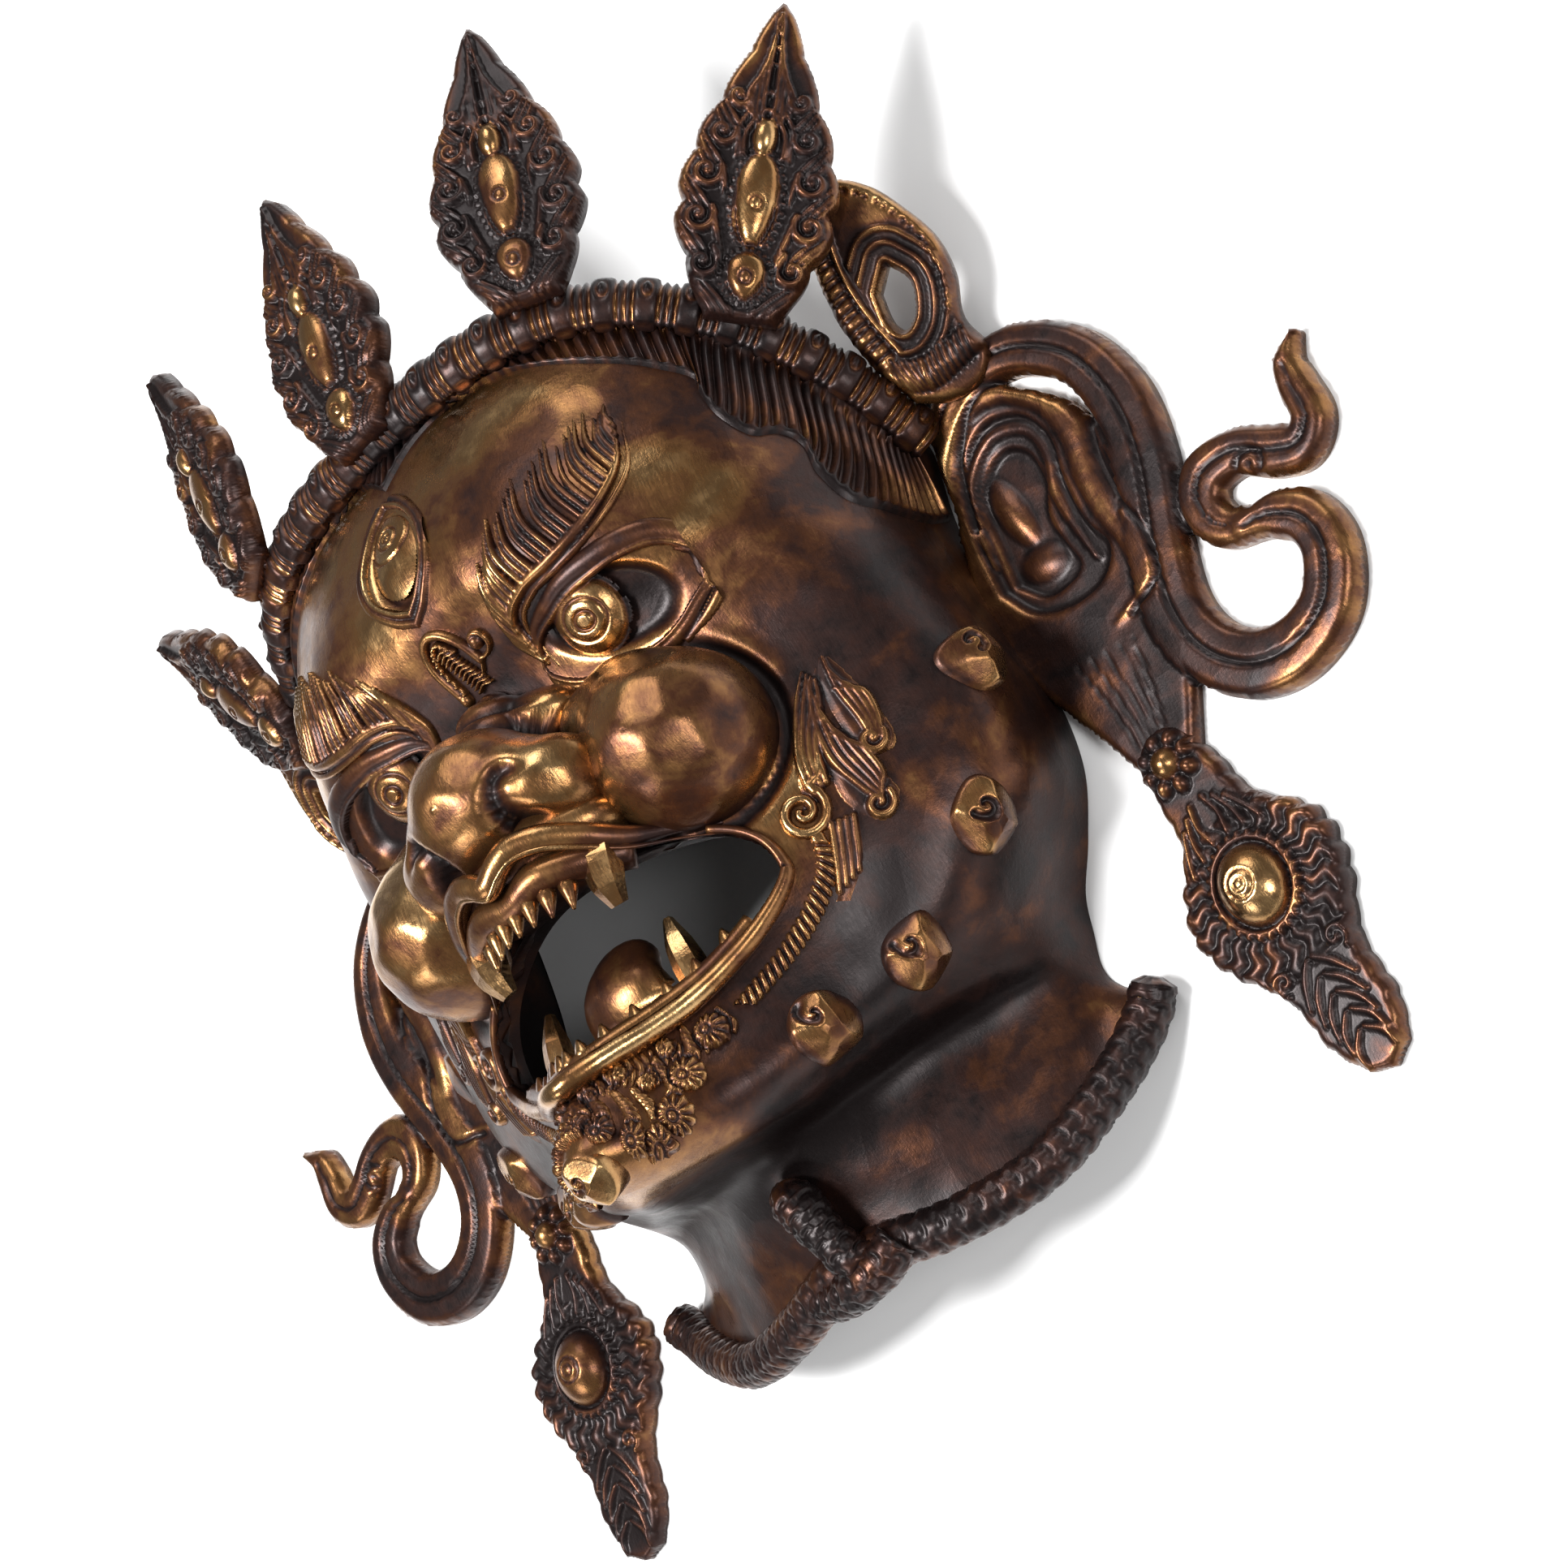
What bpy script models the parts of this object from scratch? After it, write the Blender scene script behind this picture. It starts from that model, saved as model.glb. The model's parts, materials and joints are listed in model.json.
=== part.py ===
# Cast bronze wrathful temple mask: one hollow head with crown, ears, pendants and collar.
# It lies on its back: the face looks up +Z, the crown points to +Y, the open back is at z = 0.
import math

import bmesh
import bpy
import numpy as np
from mathutils import Matrix, Vector

mm = 0.001

# Driving sizes, in millimetres
head_half_width = 100.0
head_height = 250.0
head_depth = 127.0
wall = 3.6
leaf_length = 86.0
leaf_half_width = 21.0
leaf_thickness = 6.0
band_width = 15.0
band_thickness = 10.0
plate_thickness = 8.0
plate_back = -0.8
ribbon_half_width = 8.5
pendant_length = 97.5
pendant_half_width = 23.5
pendant_thickness = 9.0
stud_radius = 10.5
collar_radius = 6.5
mouth_half_width = 53.0
mouth_upper_rise = 23.0
mouth_lower_drop = 28.0
lip_radius = 5.0
brow_thickness = 5.0
columns_per_span = 3
rows_per_span = 3
fuse_grain = 1.6
blank_faces = 30000
mask_faces = 9250

# The head as lofting lines from crown to collar, from the middle to the rim, as shares of the head
# when it is 100 wide on each side, 250 high and 127 deep.
loft_rows = [
    [(0, 90, 0), (28, 88, 0), (54, 80, 0), (76, 64, 0), (90, 46, 0)],
    [(0, 94, 44), (34, 93, 41), (62, 85, 34), (84, 67, 22), (96, 39, 0)],
    [(0, 91, 84), (38, 91, 79), (68, 85, 67), (91, 64, 44), (100, 31, 0)],
    [(0, 61, 101), (42, 57, 98), (76, 48, 76), (96, 28, 40), (97, 12, 0)],
    [(0, 34, 104), (46, 28, 100), (81, 18, 74), (99, 5, 38), (96, -6, 0)],
    [(0, 8, 88), (44, 5, 86), (84, -5, 66), (101, -16, 34), (97, -26, 0)],
    [(0, -22, 84), (42, -24, 76), (84, -30, 60), (103, -40, 34), (100, -48, 0)],
    [(0, -55, 98), (36, -60, 86), (74, -64, 62), (100, -66, 36), (98, -68, 0)],
    [(0, -102, 116), (28, -100, 92), (58, -92, 66), (88, -84, 40), (90, -84, 0)],
    [(0, -124, 127), (26, -121, 96), (50, -111, 66), (76, -100, 38), (82, -96, 0)],
    [(0, -131, 106), (22, -127, 84), (44, -117, 57), (68, -110, 31), (79, -106, 0)],
    [(0, -124, 64), (22, -123, 54), (44, -119, 38), (66, -116, 21), (77, -115, 0)],
    [(0, -139, 48), (26, -141, 42), (50, -140, 30), (70, -131, 15), (80, -122, 0)],
    [(0, -154, 42), (28, -159, 37), (54, -157, 26), (76, -144, 13), (90, -130, 0)],
]
size = np.array([head_half_width / 100, head_height / 250, head_depth / 127])
net = np.array(loft_rows, float) * size
row_count, column_count = net.shape[:2]
across = np.array([-1.0, 1.0, 1.0])


def scaled(x, y, z):
    return np.array([x, y, z], float) * size


# Smooth curve through points: Catmull-Rom along one direction of the net
def through(points, places, axis):
    points = np.moveaxis(points, axis, 0)
    start = np.clip(np.floor(places).astype(int), 0, points.shape[0] - 4)
    f = (places - start).reshape((-1,) + (1,) * (points.ndim - 1))
    a, b, c, d = (points[start + i] for i in range(4))
    value = 0.5 * (2 * b + (c - a) * f + (2 * a - 5 * b + 4 * c - d) * f ** 2
                   + (3 * b - a - 3 * c + d) * f ** 3)
    return np.moveaxis(value, 0, axis)


def head_surface(column_places, row_places):
    wide = np.concatenate([net[:, 1:2] * across, net, net[:, -2:-1] * [1, 1, -1]], 1)
    tall = np.concatenate([wide[1:2] * [1, 1, -1], wide, 2 * wide[-1:] - wide[-2:-1]], 0)
    right = through(through(tall, np.asarray(row_places, float), 0),
                    np.asarray(column_places, float), 1)
    return right


def surface_normals(grid):
    down = np.gradient(grid, axis=0)
    out = np.gradient(grid, axis=1)
    normal = np.cross(down, out)
    normal /= np.linalg.norm(normal, axis=2, keepdims=True) + 1e-9
    return normal


def full_grid(columns, rows):
    right = head_surface(columns, rows)
    return np.concatenate([right[:, :0:-1] * across, right], 1)


fine_columns = np.linspace(0, column_count - 1, 81)
fine_rows = np.linspace(0, row_count - 1, 261)
fine = full_grid(fine_columns, fine_rows)
fine_normals = surface_normals(fine)


def on_head(column, row, side=1, lift=0.0):
    j = len(fine_columns) - 1 + side * int(round(column / (column_count - 1) * 80))
    i = int(round(row / (row_count - 1) * 260))
    return fine[i, j] + fine_normals[i, j] * lift, fine_normals[i, j]


# The front surface at a place seen from the front, such as along the mouth
def above(x, y, lift=0.0):
    gap = np.hypot(fine[..., 0] - x, fine[..., 1] - y) + np.where(fine[..., 2] < 20, 1000, 0)
    i, j = np.unravel_index(gap.argmin(), gap.shape)
    return np.array([x, y, fine[i, j, 2]]) + fine_normals[i, j] * lift


def smooth_path(points, count):
    points = np.array(points, float)
    ends = np.concatenate([2 * points[:1] - points[1:2], points, 2 * points[-1:] - points[-2:-1]])
    return through(ends, np.linspace(0, len(points) - 1, count), 0)


# Scene helpers
for old in list(bpy.data.objects):
    bpy.data.objects.remove(old, do_unlink=True)
mask_parts = bpy.data.collections.new("bhairava_mask")
cutters = bpy.data.collections.new("tools")
bpy.context.scene.collection.children.link(mask_parts)
bpy.context.scene.collection.children.link(cutters)


def mesh_object(name, bm, collection):
    bmesh.ops.triangulate(bm, faces=bm.faces)
    mesh = bpy.data.meshes.new(name)
    bm.to_mesh(mesh)
    bm.free()
    item = bpy.data.objects.new(name, mesh)
    collection.objects.link(item)
    return item


def outward(bm, first_face):
    bm.faces.ensure_lookup_table()
    bmesh.ops.recalc_face_normals(bm, faces=bm.faces[first_face:])


def add_loop_faces(bm, rings, closed):
    for first, second in zip(rings, rings[1:]):
        count = len(first)
        for k in range(count if closed else count - 1):
            n = (k + 1) % count
            bm.faces.new((first[k], first[n], second[n], second[k]))


# A swept bar with an oval section; across-vectors keep its flat side to the surface
def sweep(bm, path, normals, half_width, half_thickness, sides=6):
    start = len(bm.faces)
    path = np.array(path, float)
    tangent = np.gradient(path, axis=0)
    half_width = np.broadcast_to(half_width, len(path))
    half_thickness = np.broadcast_to(half_thickness, len(path))
    rings = []
    for p, t, n, a, b in zip(path, tangent, normals, half_width, half_thickness):
        t = t / np.linalg.norm(t)
        n = n - t * (n @ t)
        n /= np.linalg.norm(n)
        w = np.cross(t, n)
        ring = []
        for k in range(sides):
            turn = 2 * math.pi * (k + 0.5) / sides
            ring.append(bm.verts.new((p + w * a * math.cos(turn) + n * b * math.sin(turn)) * mm))
        rings.append(ring)
    add_loop_faces(bm, rings, True)
    bm.faces.new(rings[0][::-1])
    bm.faces.new(rings[-1])
    outward(bm, start)


def ball(bm, centre, radii, up=(0, 0, 1), segments=12, rings=8):
    turn = Vector((0, 0, 1)).rotation_difference(Vector(up)).to_matrix().to_4x4()
    place = Matrix.Translation(Vector(centre) * mm) @ turn @ Matrix.Diagonal((*[r * mm for r in radii], 1))
    bmesh.ops.create_uvsphere(bm, u_segments=segments, v_segments=rings, radius=1.0, matrix=place)


def spike(bm, base, tip, radius, sides=6):
    base, tip = Vector(base), Vector(tip)
    run = tip - base
    turn = Vector((0, 0, 1)).rotation_difference(run).to_matrix().to_4x4()
    place = Matrix.Translation((base + tip) / 2 * mm) @ turn
    bmesh.ops.create_cone(bm, cap_ends=True, segments=sides, radius1=radius * mm,
                          radius2=radius * 0.25 * mm, depth=run.length * mm, matrix=place)


# A flat outline with thickness, placed by an origin and three directions
def plate(bm, outline, low, high, origin=(0, 0, 0), right=(1, 0, 0), up=(0, 1, 0), bend=None):
    start = len(bm.faces)
    origin, right, up = (np.array(v, float) for v in (origin, right, up))
    out = np.cross(right, up)
    rings = []
    for level in (low, high):
        ring = []
        for x, y in outline:
            rise = level + (bend(x, y) if bend else 0.0)
            ring.append(bm.verts.new((origin + right * x + up * y + out * rise) * mm))
        rings.append(ring)
    add_loop_faces(bm, rings, True)
    bm.faces.new(rings[0][::-1])
    bm.faces.new(rings[1])
    outward(bm, start)


# Both edges of a bending strip, as one outline
def strip_outline(centre_points, half_widths, count):
    path = smooth_path(centre_points, count)
    widths = np.interp(np.linspace(0, 1, count), np.linspace(0, 1, len(half_widths)), half_widths)
    t = np.gradient(path, axis=0)
    side = np.stack([-t[:, 1], t[:, 0]], 1) / np.linalg.norm(t, axis=1, keepdims=True)
    return np.concatenate([path + side * widths[:, None], (path - side * widths[:, None])[::-1]])


def tool(name, build):
    bm = bmesh.new()
    build(bm)
    item = mesh_object(name, bm, cutters)
    item.hide_render = True
    item.display_type = 'WIRE'
    return item


def apply_tool(target, item, operation):
    change = target.modifiers.new(item.name, 'BOOLEAN')
    change.operation = operation
    change.solver = 'EXACT'
    change.object = item


# Head: outer skin closed over its open back, and the cavity inside it
def close_grid(bm, grid, back_level):
    start = len(bm.faces)
    rows, columns = grid.shape[:2]
    verts = [[bm.verts.new(grid[i, j] * mm) for j in range(columns)] for i in range(rows)]
    add_loop_faces(bm, verts, False)
    bottom = verts[-1]
    rim = [verts[i][0] for i in range(rows)][::-1] + verts[0][1:-1] + [verts[i][-1] for i in range(rows)]
    back_hub = bm.verts.new((0, grid[rows // 2, 0, 1] * mm, back_level * mm))
    for a, b in zip(rim, rim[1:]):
        bm.faces.new((a, b, back_hub))
    collar_hub = bm.verts.new((0, grid[-1, 0, 1] * mm, back_level * mm))
    for a, b in zip(bottom, bottom[1:]):
        bm.faces.new((a, b, collar_hub))
    bm.faces.new((bottom[0], back_hub, collar_hub))
    bm.faces.new((bottom[-1], back_hub, collar_hub))
    outward(bm, start)


coarse_columns = np.linspace(0, column_count - 1, (column_count - 1) * columns_per_span + 1)
coarse_rows = np.linspace(0, row_count - 1, (row_count - 1) * rows_per_span + 1)


def build_skin(bm):
    close_grid(bm, full_grid(coarse_columns, coarse_rows), 0.0)


def build_cavity(bm):
    grid = full_grid(coarse_columns, coarse_rows)
    inner = grid - surface_normals(grid) * wall
    past_back = -2.0
    past_collar = 4.0
    inner[0, :, 1] = grid[0, :, 1] - wall
    inner[:, :, 2] = np.maximum(inner[:, :, 2], past_back)
    inner[0, :, 2] = past_back
    inner[:, 0, 2] = past_back
    inner[:, -1, 2] = past_back
    end = inner[-1] - inner[-2]
    inner[-1] += end / np.linalg.norm(end, axis=1, keepdims=True) * past_collar
    inner[-1, :, 2] = np.maximum(inner[-1, :, 2], past_back)
    inner[-1, [0, -1], 2] = past_back
    close_grid(bm, inner, past_back)


# Swellings of the face: balls of the cheeks, nose with wings, eyes and third eye
cheek = dict(centre=scaled(45, -32, 81), radii=scaled(23.5, 23, 26))
cheek_bag = dict(centre=scaled(29, -19, 81), radii=scaled(22, 15, 17))
nose = dict(centre=scaled(0, -22, 105), radii=scaled(18, 18.5, 21))
nose_bridge = dict(centre=scaled(0, -5, 89), radii=scaled(15, 18, 15))
nose_wing = dict(centre=scaled(22.5, -31, 101.5), radii=scaled(12, 11, 13))
nose_saddle = dict(centre=scaled(12, -24, 102), radii=scaled(13, 12.5, 16))
muzzle = dict(centre=scaled(0, -40, 96), radii=scaled(31, 13, 19))
eye_lids = dict(column=1.05, row=4.87, radii=scaled(19, 11, 5.5), lift=-1.5)
eye = dict(column=0.9, row=4.85, radii=scaled(10.5, 10, 8), lift=-0.5)
third_eye = dict(column=0.0, row=3.25, radii=scaled(10, 16, 5), lift=-0.5)


def build_face(bm):
    for side in (-1, 1):
        flip = np.array([side, 1, 1])
        for swelling in (cheek, cheek_bag, nose_wing, nose_saddle):
            ball(bm, swelling["centre"] * flip, swelling["radii"], segments=18, rings=12)
        for swelling in (eye_lids, eye):
            place, normal = on_head(swelling["column"], swelling["row"], side, swelling["lift"])
            ball(bm, place, swelling["radii"], normal, 14, 8)
    ball(bm, nose["centre"], nose["radii"], segments=18, rings=12)
    ball(bm, nose_bridge["centre"], nose_bridge["radii"], segments=18, rings=12)
    ball(bm, muzzle["centre"], muzzle["radii"], segments=16, rings=10)
    place, normal = on_head(third_eye["column"], third_eye["row"], 1, third_eye["lift"])
    ball(bm, place, third_eye["radii"], normal, 14, 8)


def build_cheek_cavity(bm):
    for side in (-1, 1):
        flip = np.array([side, 1, 1])
        ball(bm, cheek["centre"] * flip, [r - wall for r in cheek["radii"]], segments=14, rings=8)


# Mouth outline seen from the front, right half then left half
mouth_centre_y = -74.0 * size[1]
upper_power = 2.5
lower_power = 1.4


def mouth_point(turn, grow=0.0):
    c, s = math.cos(turn), math.sin(turn)
    rise, power = (mouth_upper_rise, upper_power) if s > 0 else (mouth_lower_drop, lower_power)
    x = math.copysign(abs(c) ** (2 / power), c) * (mouth_half_width + grow)
    y = math.copysign(abs(s) ** (2 / power), s) * (rise + grow)
    return x, mouth_centre_y + y


def build_mouth(bm):
    turns = np.linspace(0, 2 * math.pi, 40, endpoint=False)
    plate(bm, [mouth_point(t) for t in turns], wall * 6, head_depth + 40)


def lip_path(start, end, count, lift, grow=0.0):
    points = []
    for turn in np.linspace(start, end, count):
        x, y = mouth_point(turn, grow)
        points.append(above(x, y, lift))
    return points


# Upper lip rises to the middle in front of the gum; lower lip is a bright bar on the jaw edge
upper_lip_rise = 13.0


def build_lips(bm):
    front = np.array([0, 0, 1.0])
    upper = np.array(lip_path(math.pi, 0, 21, 0.0, 2.0))
    reach = np.clip(1 - np.abs(upper[:, 0]) / (0.62 * mouth_half_width), 0, 1) ** 0.7
    upper[:, 2] += reach * upper_lip_rise
    sweep(bm, upper, [front] * len(upper), lip_radius * 0.8, lip_radius * (1 + 0.5 * reach))


def build_lower_lip(bm):
    lower = lip_path(0, -math.pi, 25, 0.0, 2.0)
    sweep(bm, lower, [np.array([0, 0.3, 1.0])] * len(lower), lip_radius * 0.8, lip_radius * 0.9)


# Teeth stand on gums behind the lips, with longer fangs at fang_x on each side
fang_x = 23.0
tooth_pitch = 6.2
tooth_length = 8.0


def build_gums(bm):
    front = np.array([0, 0, 1.0])
    upper = [np.array([x, mouth_centre_y + mouth_upper_rise - 1.0, 99.0 * size[2] - abs(x) * 0.18])
             for x in np.linspace(-0.55, 0.55, 9) * mouth_half_width]
    sweep(bm, upper, [front] * len(upper), 4.5, 6.0)
    lower = np.array(lip_path(-0.18 * math.pi, -0.82 * math.pi, 13, -4.0, -1.0))
    sweep(bm, lower, [front] * len(lower), 4.0, 6.0)


def build_teeth(bm):
    for k in range(-3, 3):
        x = (k + 0.5) * tooth_pitch
        top = mouth_centre_y + mouth_upper_rise - 2.0
        z = 101.0 * size[2] - abs(x) * 0.25
        spike(bm, (x, top, z), (x, top - tooth_length, z + 1), 3.0, 5)
        low_x, low_y = x * 0.95, mouth_centre_y - mouth_lower_drop + 1.5 + abs(x) * 0.4
        z = above(low_x, low_y)[2] - 3.0
        spike(bm, (low_x, low_y, z), (low_x, low_y + tooth_length * 0.8, z), 2.6, 5)


def build_fangs(bm):
    for side in (-1, 1):
        x = fang_x * side
        top = mouth_centre_y + mouth_upper_rise
        spike(bm, (x, top, 96 * size[2]), (x * 0.96, top - 15, 100 * size[2]), 5.2)
        low = mouth_centre_y - mouth_lower_drop + 10.0
        spike(bm, (x * 1.1, low - 4, 88 * size[2]), (x * 1.02, low + 18, 88 * size[2]), 4.8)


def build_tongue(bm):
    jaw_floor = mouth_centre_y - mouth_lower_drop
    ball(bm, (0, jaw_floor + 3, 84 * size[2]), (17, 11, 26), segments=14, rings=8)


# Diadem band: rises from each side over the forehead
band_side = 104.0
band_end_y = 30.0
band_rise = 65.0
band_end_z = 8.0
band_forward = 81.0


def band_place(share):
    s = min(abs(share), 1.0)
    y = band_end_y + band_rise * (1 - s ** 4) ** 0.5
    z = band_end_z + band_forward * (1 - s ** 2.6) ** 0.5
    point = scaled(math.copysign(s, share) * band_side, y, z)
    out = np.array([point[0] / band_side, 0.25, 0.35 + 0.65 * (1 - s)])
    return point, out / np.linalg.norm(out)


def band_shares(count):
    return [math.sin(t) for t in np.linspace(-math.pi / 2, math.pi / 2, count)]


def build_band(bm):
    shares = band_shares(53)
    places, outs = zip(*[band_place(s) for s in shares])
    pillow = np.array([1.0 if k % 2 else 0.86 for k in range(len(shares))])
    sweep(bm, places, outs, band_width / 2 * pillow, band_thickness / 2 * pillow, 6)


# Hair fringe: a scalloped sheet of comb ridges below the band
def build_hair(bm):
    tooth_count = 40
    for k in range(tooth_count):
        share = math.sin((k + 0.5 - tooth_count / 2) / tooth_count * math.pi * 0.94)
        top, out = band_place(share)
        scallop = 9.0 + 6.0 * abs(math.sin((k + 0.5) / tooth_count * math.pi * 7))
        foot = top * np.array([0.97, 1, 0.97]) - np.array([0, scallop + 7.0, -4.0]) * size
        foot = above(foot[0], foot[1], 0.0) if foot[2] > 30 else foot
        bar = [top - out * 3.0, (top + foot) / 2, foot]
        sweep(bm, bar, [out] * 3, [2.4, 2.2, 1.2], [4.5, 3.6, 2.0], 4)


# Crown: five flame leaves on the band, each with cabochons and knob. A leaf stands at its share of
# the band, with its middle cabochon ahead of the band by an offset, and runs along its own direction.
# The offsets are those of a leaf 86 long.
leaf_spots = [
    dict(share=0.0, offset=(0, 28.0, 6.0), run=(0, 55.0, -1.5), turn=0.0),
    dict(share=0.642, offset=(0, 34.6, 9.5), run=(8.6, 52.1, -4.7), turn=27.0),
    dict(share=0.95, offset=(16.0, 32.6, 15.0), run=(30.7, 44.7, -6.9), turn=47.0),
]
ring_share = 0.36


def leaf_width(share):
    flame = math.sin(math.pi * min(1.0, 0.24 + 0.76 * share) ** 0.9)
    lobes = 1.0 + 0.07 * abs(math.sin(share * math.pi * 4.5))
    base = 0.72 + 0.28 * min(1.0, share / 0.2)
    return leaf_half_width * max(flame, 0.0) * lobes * base


def leaf_outline():
    shares = np.linspace(0, 1, 19)
    right = [(leaf_width(s), s * leaf_length) for s in shares[:-1]]
    return right + [(0, leaf_length)] + [(-x, y) for x, y in right[::-1]]


def leaf_frame(spot, side):
    flip = np.array([side, 1, 1])
    ring = (band_place(spot["share"])[0] + np.array(spot["offset"]) * leaf_length / 86) * flip
    up = np.array(spot["run"], float) * flip
    up /= np.linalg.norm(up)
    turn = math.radians(spot["turn"]) * side
    out = np.array([math.sin(turn), 0, math.cos(turn)])
    out -= up * (out @ up)
    out /= np.linalg.norm(out)
    return ring - up * leaf_length * ring_share, np.cross(up, out), up, out


def each_leaf():
    for spot in leaf_spots:
        for side in ((1,) if spot["turn"] == 0 else (1, -1)):
            yield leaf_frame(spot, side)


def build_leaves(bm):
    for origin, right, up, out in each_leaf():
        plate(bm, leaf_outline(), -leaf_thickness / 2, leaf_thickness / 2, origin, right, up)


def build_cabochons(bm):
    for origin, right, up, out in each_leaf():
        for share, width, height in ((0.37, 5.0, 13.0), (0.135, 5.0, 7.0), (0.56, 3.6, 6.0)):
            centre = origin + up * leaf_length * share + out * leaf_thickness * 0.45
            turn = Matrix(np.stack([right, up, out], 1).tolist()).to_4x4()
            place = Matrix.Translation(Vector(centre) * mm) @ turn
            place = place @ Matrix.Diagonal((width * mm, height * mm, 4.0 * mm, 1))
            bmesh.ops.create_uvsphere(bm, u_segments=10, v_segments=6, radius=1.0, matrix=place)


# Ear plates on the wall side: ear, ribbon with its loop, and swirl to a tip
ear_axis = [(118, 30), (121, 8), (123, -14), (123, -38), (124, -60), (124, -86)]
ear_half_widths = [10, 24, 30, 27, 20, 12]
ribbon_axis = [(112, 33), (126, 37), (140, 33), (152, 20), (157, 2), (154, -16), (148, -34),
               (145, -52), (147, -66), (156, -76), (168, -79), (180, -74), (187, -64)]
ribbon_shares = [0.7, 0.75, 0.8, 0.9, 1.0, 1.0, 1.0, 1.0, 1.05, 1.1, 1.1, 1.05, 0.95]
swirl_axis = [(184, -72), (188, -60), (184, -51), (175, -47), (167, -43), (164, -34), (171, -28),
              (182, -30), (191, -37), (198, -35), (199.5, -26), (200, -19), (207, -12)]
swirl_shares = [0.9, 0.85, 0.75, 0.65, 0.8, 1.0, 1.0, 0.85, 0.8, 0.75, 0.75, 0.6, 0.3]


def side_points(points, side):
    return [(x * size[0] * side, y * size[1]) for x, y in points]


def build_ears(bm):
    for side in (-1, 1):
        outline = strip_outline(side_points(ear_axis, side), np.array(ear_half_widths) * size[0], 13)
        plate(bm, outline, plate_back, plate_back + plate_thickness - 1.0)


def build_ribbons(bm):
    for side in (-1, 1):
        widths = [s * ribbon_half_width for s in ribbon_shares]
        outline = strip_outline(side_points(ribbon_axis, side), widths, 25)
        plate(bm, outline, plate_back, plate_back + plate_thickness)


def build_swirls(bm):
    for side in (-1, 1):
        widths = [s * ribbon_half_width for s in swirl_shares]
        outline = strip_outline(side_points(swirl_axis, side), widths, 27)
        plate(bm, outline, plate_back, plate_back + plate_thickness - 0.6)


ear_fold = [(104, 12), (110, 24), (122, 29), (134, 24), (141, 8), (140, -8), (138, -24), (134, -36)]


def build_ear_folds(bm):
    for side in (-1, 1):
        path = [(x, y, plate_back + plate_thickness) for x, y in smooth_path(side_points(ear_fold, side), 15)]
        sweep(bm, path, [np.array([0, 0, 1.0])] * 15, 3.6, 3.0, 6)


# Bow beside the crown: an arch with an eye, leaning forward to the outer leaf
bow_arch = [(112, 42, 12), (106, 58, 20), (107, 76, 30), (115, 87, 34), (125, 82, 32),
            (130, 70, 27), (128, 56, 20), (119, 44, 12)]
bow_half_width = 6.0
bow_half_thickness = 4.0


def build_bows(bm):
    for side in (-1, 1):
        flip = np.array([side, 1, 1])
        path = [p * flip for p in smooth_path([scaled(*p) for p in bow_arch], 19)]
        sweep(bm, path, [np.array([0.2 * side, -0.3, 1.0])] * 19, bow_half_width, bow_half_thickness)


def build_bow_knots(bm):
    for side in (-1, 1):
        ball(bm, scaled(116 * side, 44, 11), (13, 7, 8), segments=12, rings=8)


# Pendants below the ears
pendant_top = (123, -83)
pendant_tip = (138, -178)
pendant_level = 8.0


def pendant_frame(side):
    top = np.array([pendant_top[0] * size[0] * side, pendant_top[1] * size[1]])
    tip = np.array([pendant_tip[0] * size[0] * side, pendant_tip[1] * size[1]])
    down = (tip - top) / np.linalg.norm(tip - top)
    return top, down


def pendant_width(share):
    neck = 0.42 + 0.1 * math.cos(share * 30)
    oval = math.exp(-((share - 0.42) / 0.21) ** 2)
    tail = 0.42 * math.exp(-((share - 0.86) / 0.13) ** 4)
    return pendant_half_width * min(1.0, max(neck * max(0.0, 1 - share * 1.6), oval, tail))


def build_pendants(bm):
    for side in (-1, 1):
        top, down = pendant_frame(side)
        wide = np.array([-down[1], down[0]])
        shares = np.linspace(0, 0.985, 22)
        near = [top + down * pendant_length * s + wide * pendant_width(s) for s in shares]
        far = [top + down * pendant_length * s - wide * pendant_width(s) for s in shares]
        end = [top + down * pendant_length]
        plate(bm, near + end + far[::-1], plate_back, plate_back + pendant_thickness - 0.5)


def build_pendant_bosses(bm):
    for side in (-1, 1):
        top, down = pendant_frame(side)
        for share, radii in ((0.0, scaled(9, 9, 6)), (0.42, scaled(11, 11, 9))):
            spot = top + down * pendant_length * share
            ball(bm, (*spot, pendant_level), radii, segments=14, rings=8)


# Studs along the jaw, brows, beard, mouth-corner scrolls, collar
stud_spots = [(1.72, 8.88), (2.45, 8.85), (2.95, 7.8), (3.0, 6.08)]
chin_stud_lift = 0.42


def build_studs(bm):
    for column, row in stud_spots:
        for side in (-1, 1):
            place, normal = on_head(column, row, side, stud_radius * 0.25)
            ball(bm, place, (stud_radius, stud_radius, stud_radius * 0.8), normal, 8, 6)
    place, normal = on_head(0.0, 9.35, 1, stud_radius * chin_stud_lift)
    ball(bm, place, (stud_radius, stud_radius, stud_radius), normal, 8, 6)


brow_line = [(0.42, 4.55), (0.55, 4.15), (0.85, 3.75), (1.25, 3.4), (1.7, 3.0)]
brow_half_widths = [3.0, 7.0, 9.0, 7.5, 2.0]


def build_brows(bm):
    for side in (-1, 1):
        spots = smooth_path(brow_line, 11)
        places, normals = zip(*[on_head(c, r, side, 0.5) for c, r in spots])
        widths = np.interp(np.linspace(0, 1, 11), np.linspace(0, 1, 5), brow_half_widths)
        sweep(bm, places, normals, widths, brow_thickness * 0.6, 6)


beard_line = [(1.8, 7.15), (1.72, 7.6), (1.45, 7.95), (1.0, 8.2), (0.5, 8.35)]
scroll_turns = 1.4


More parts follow.
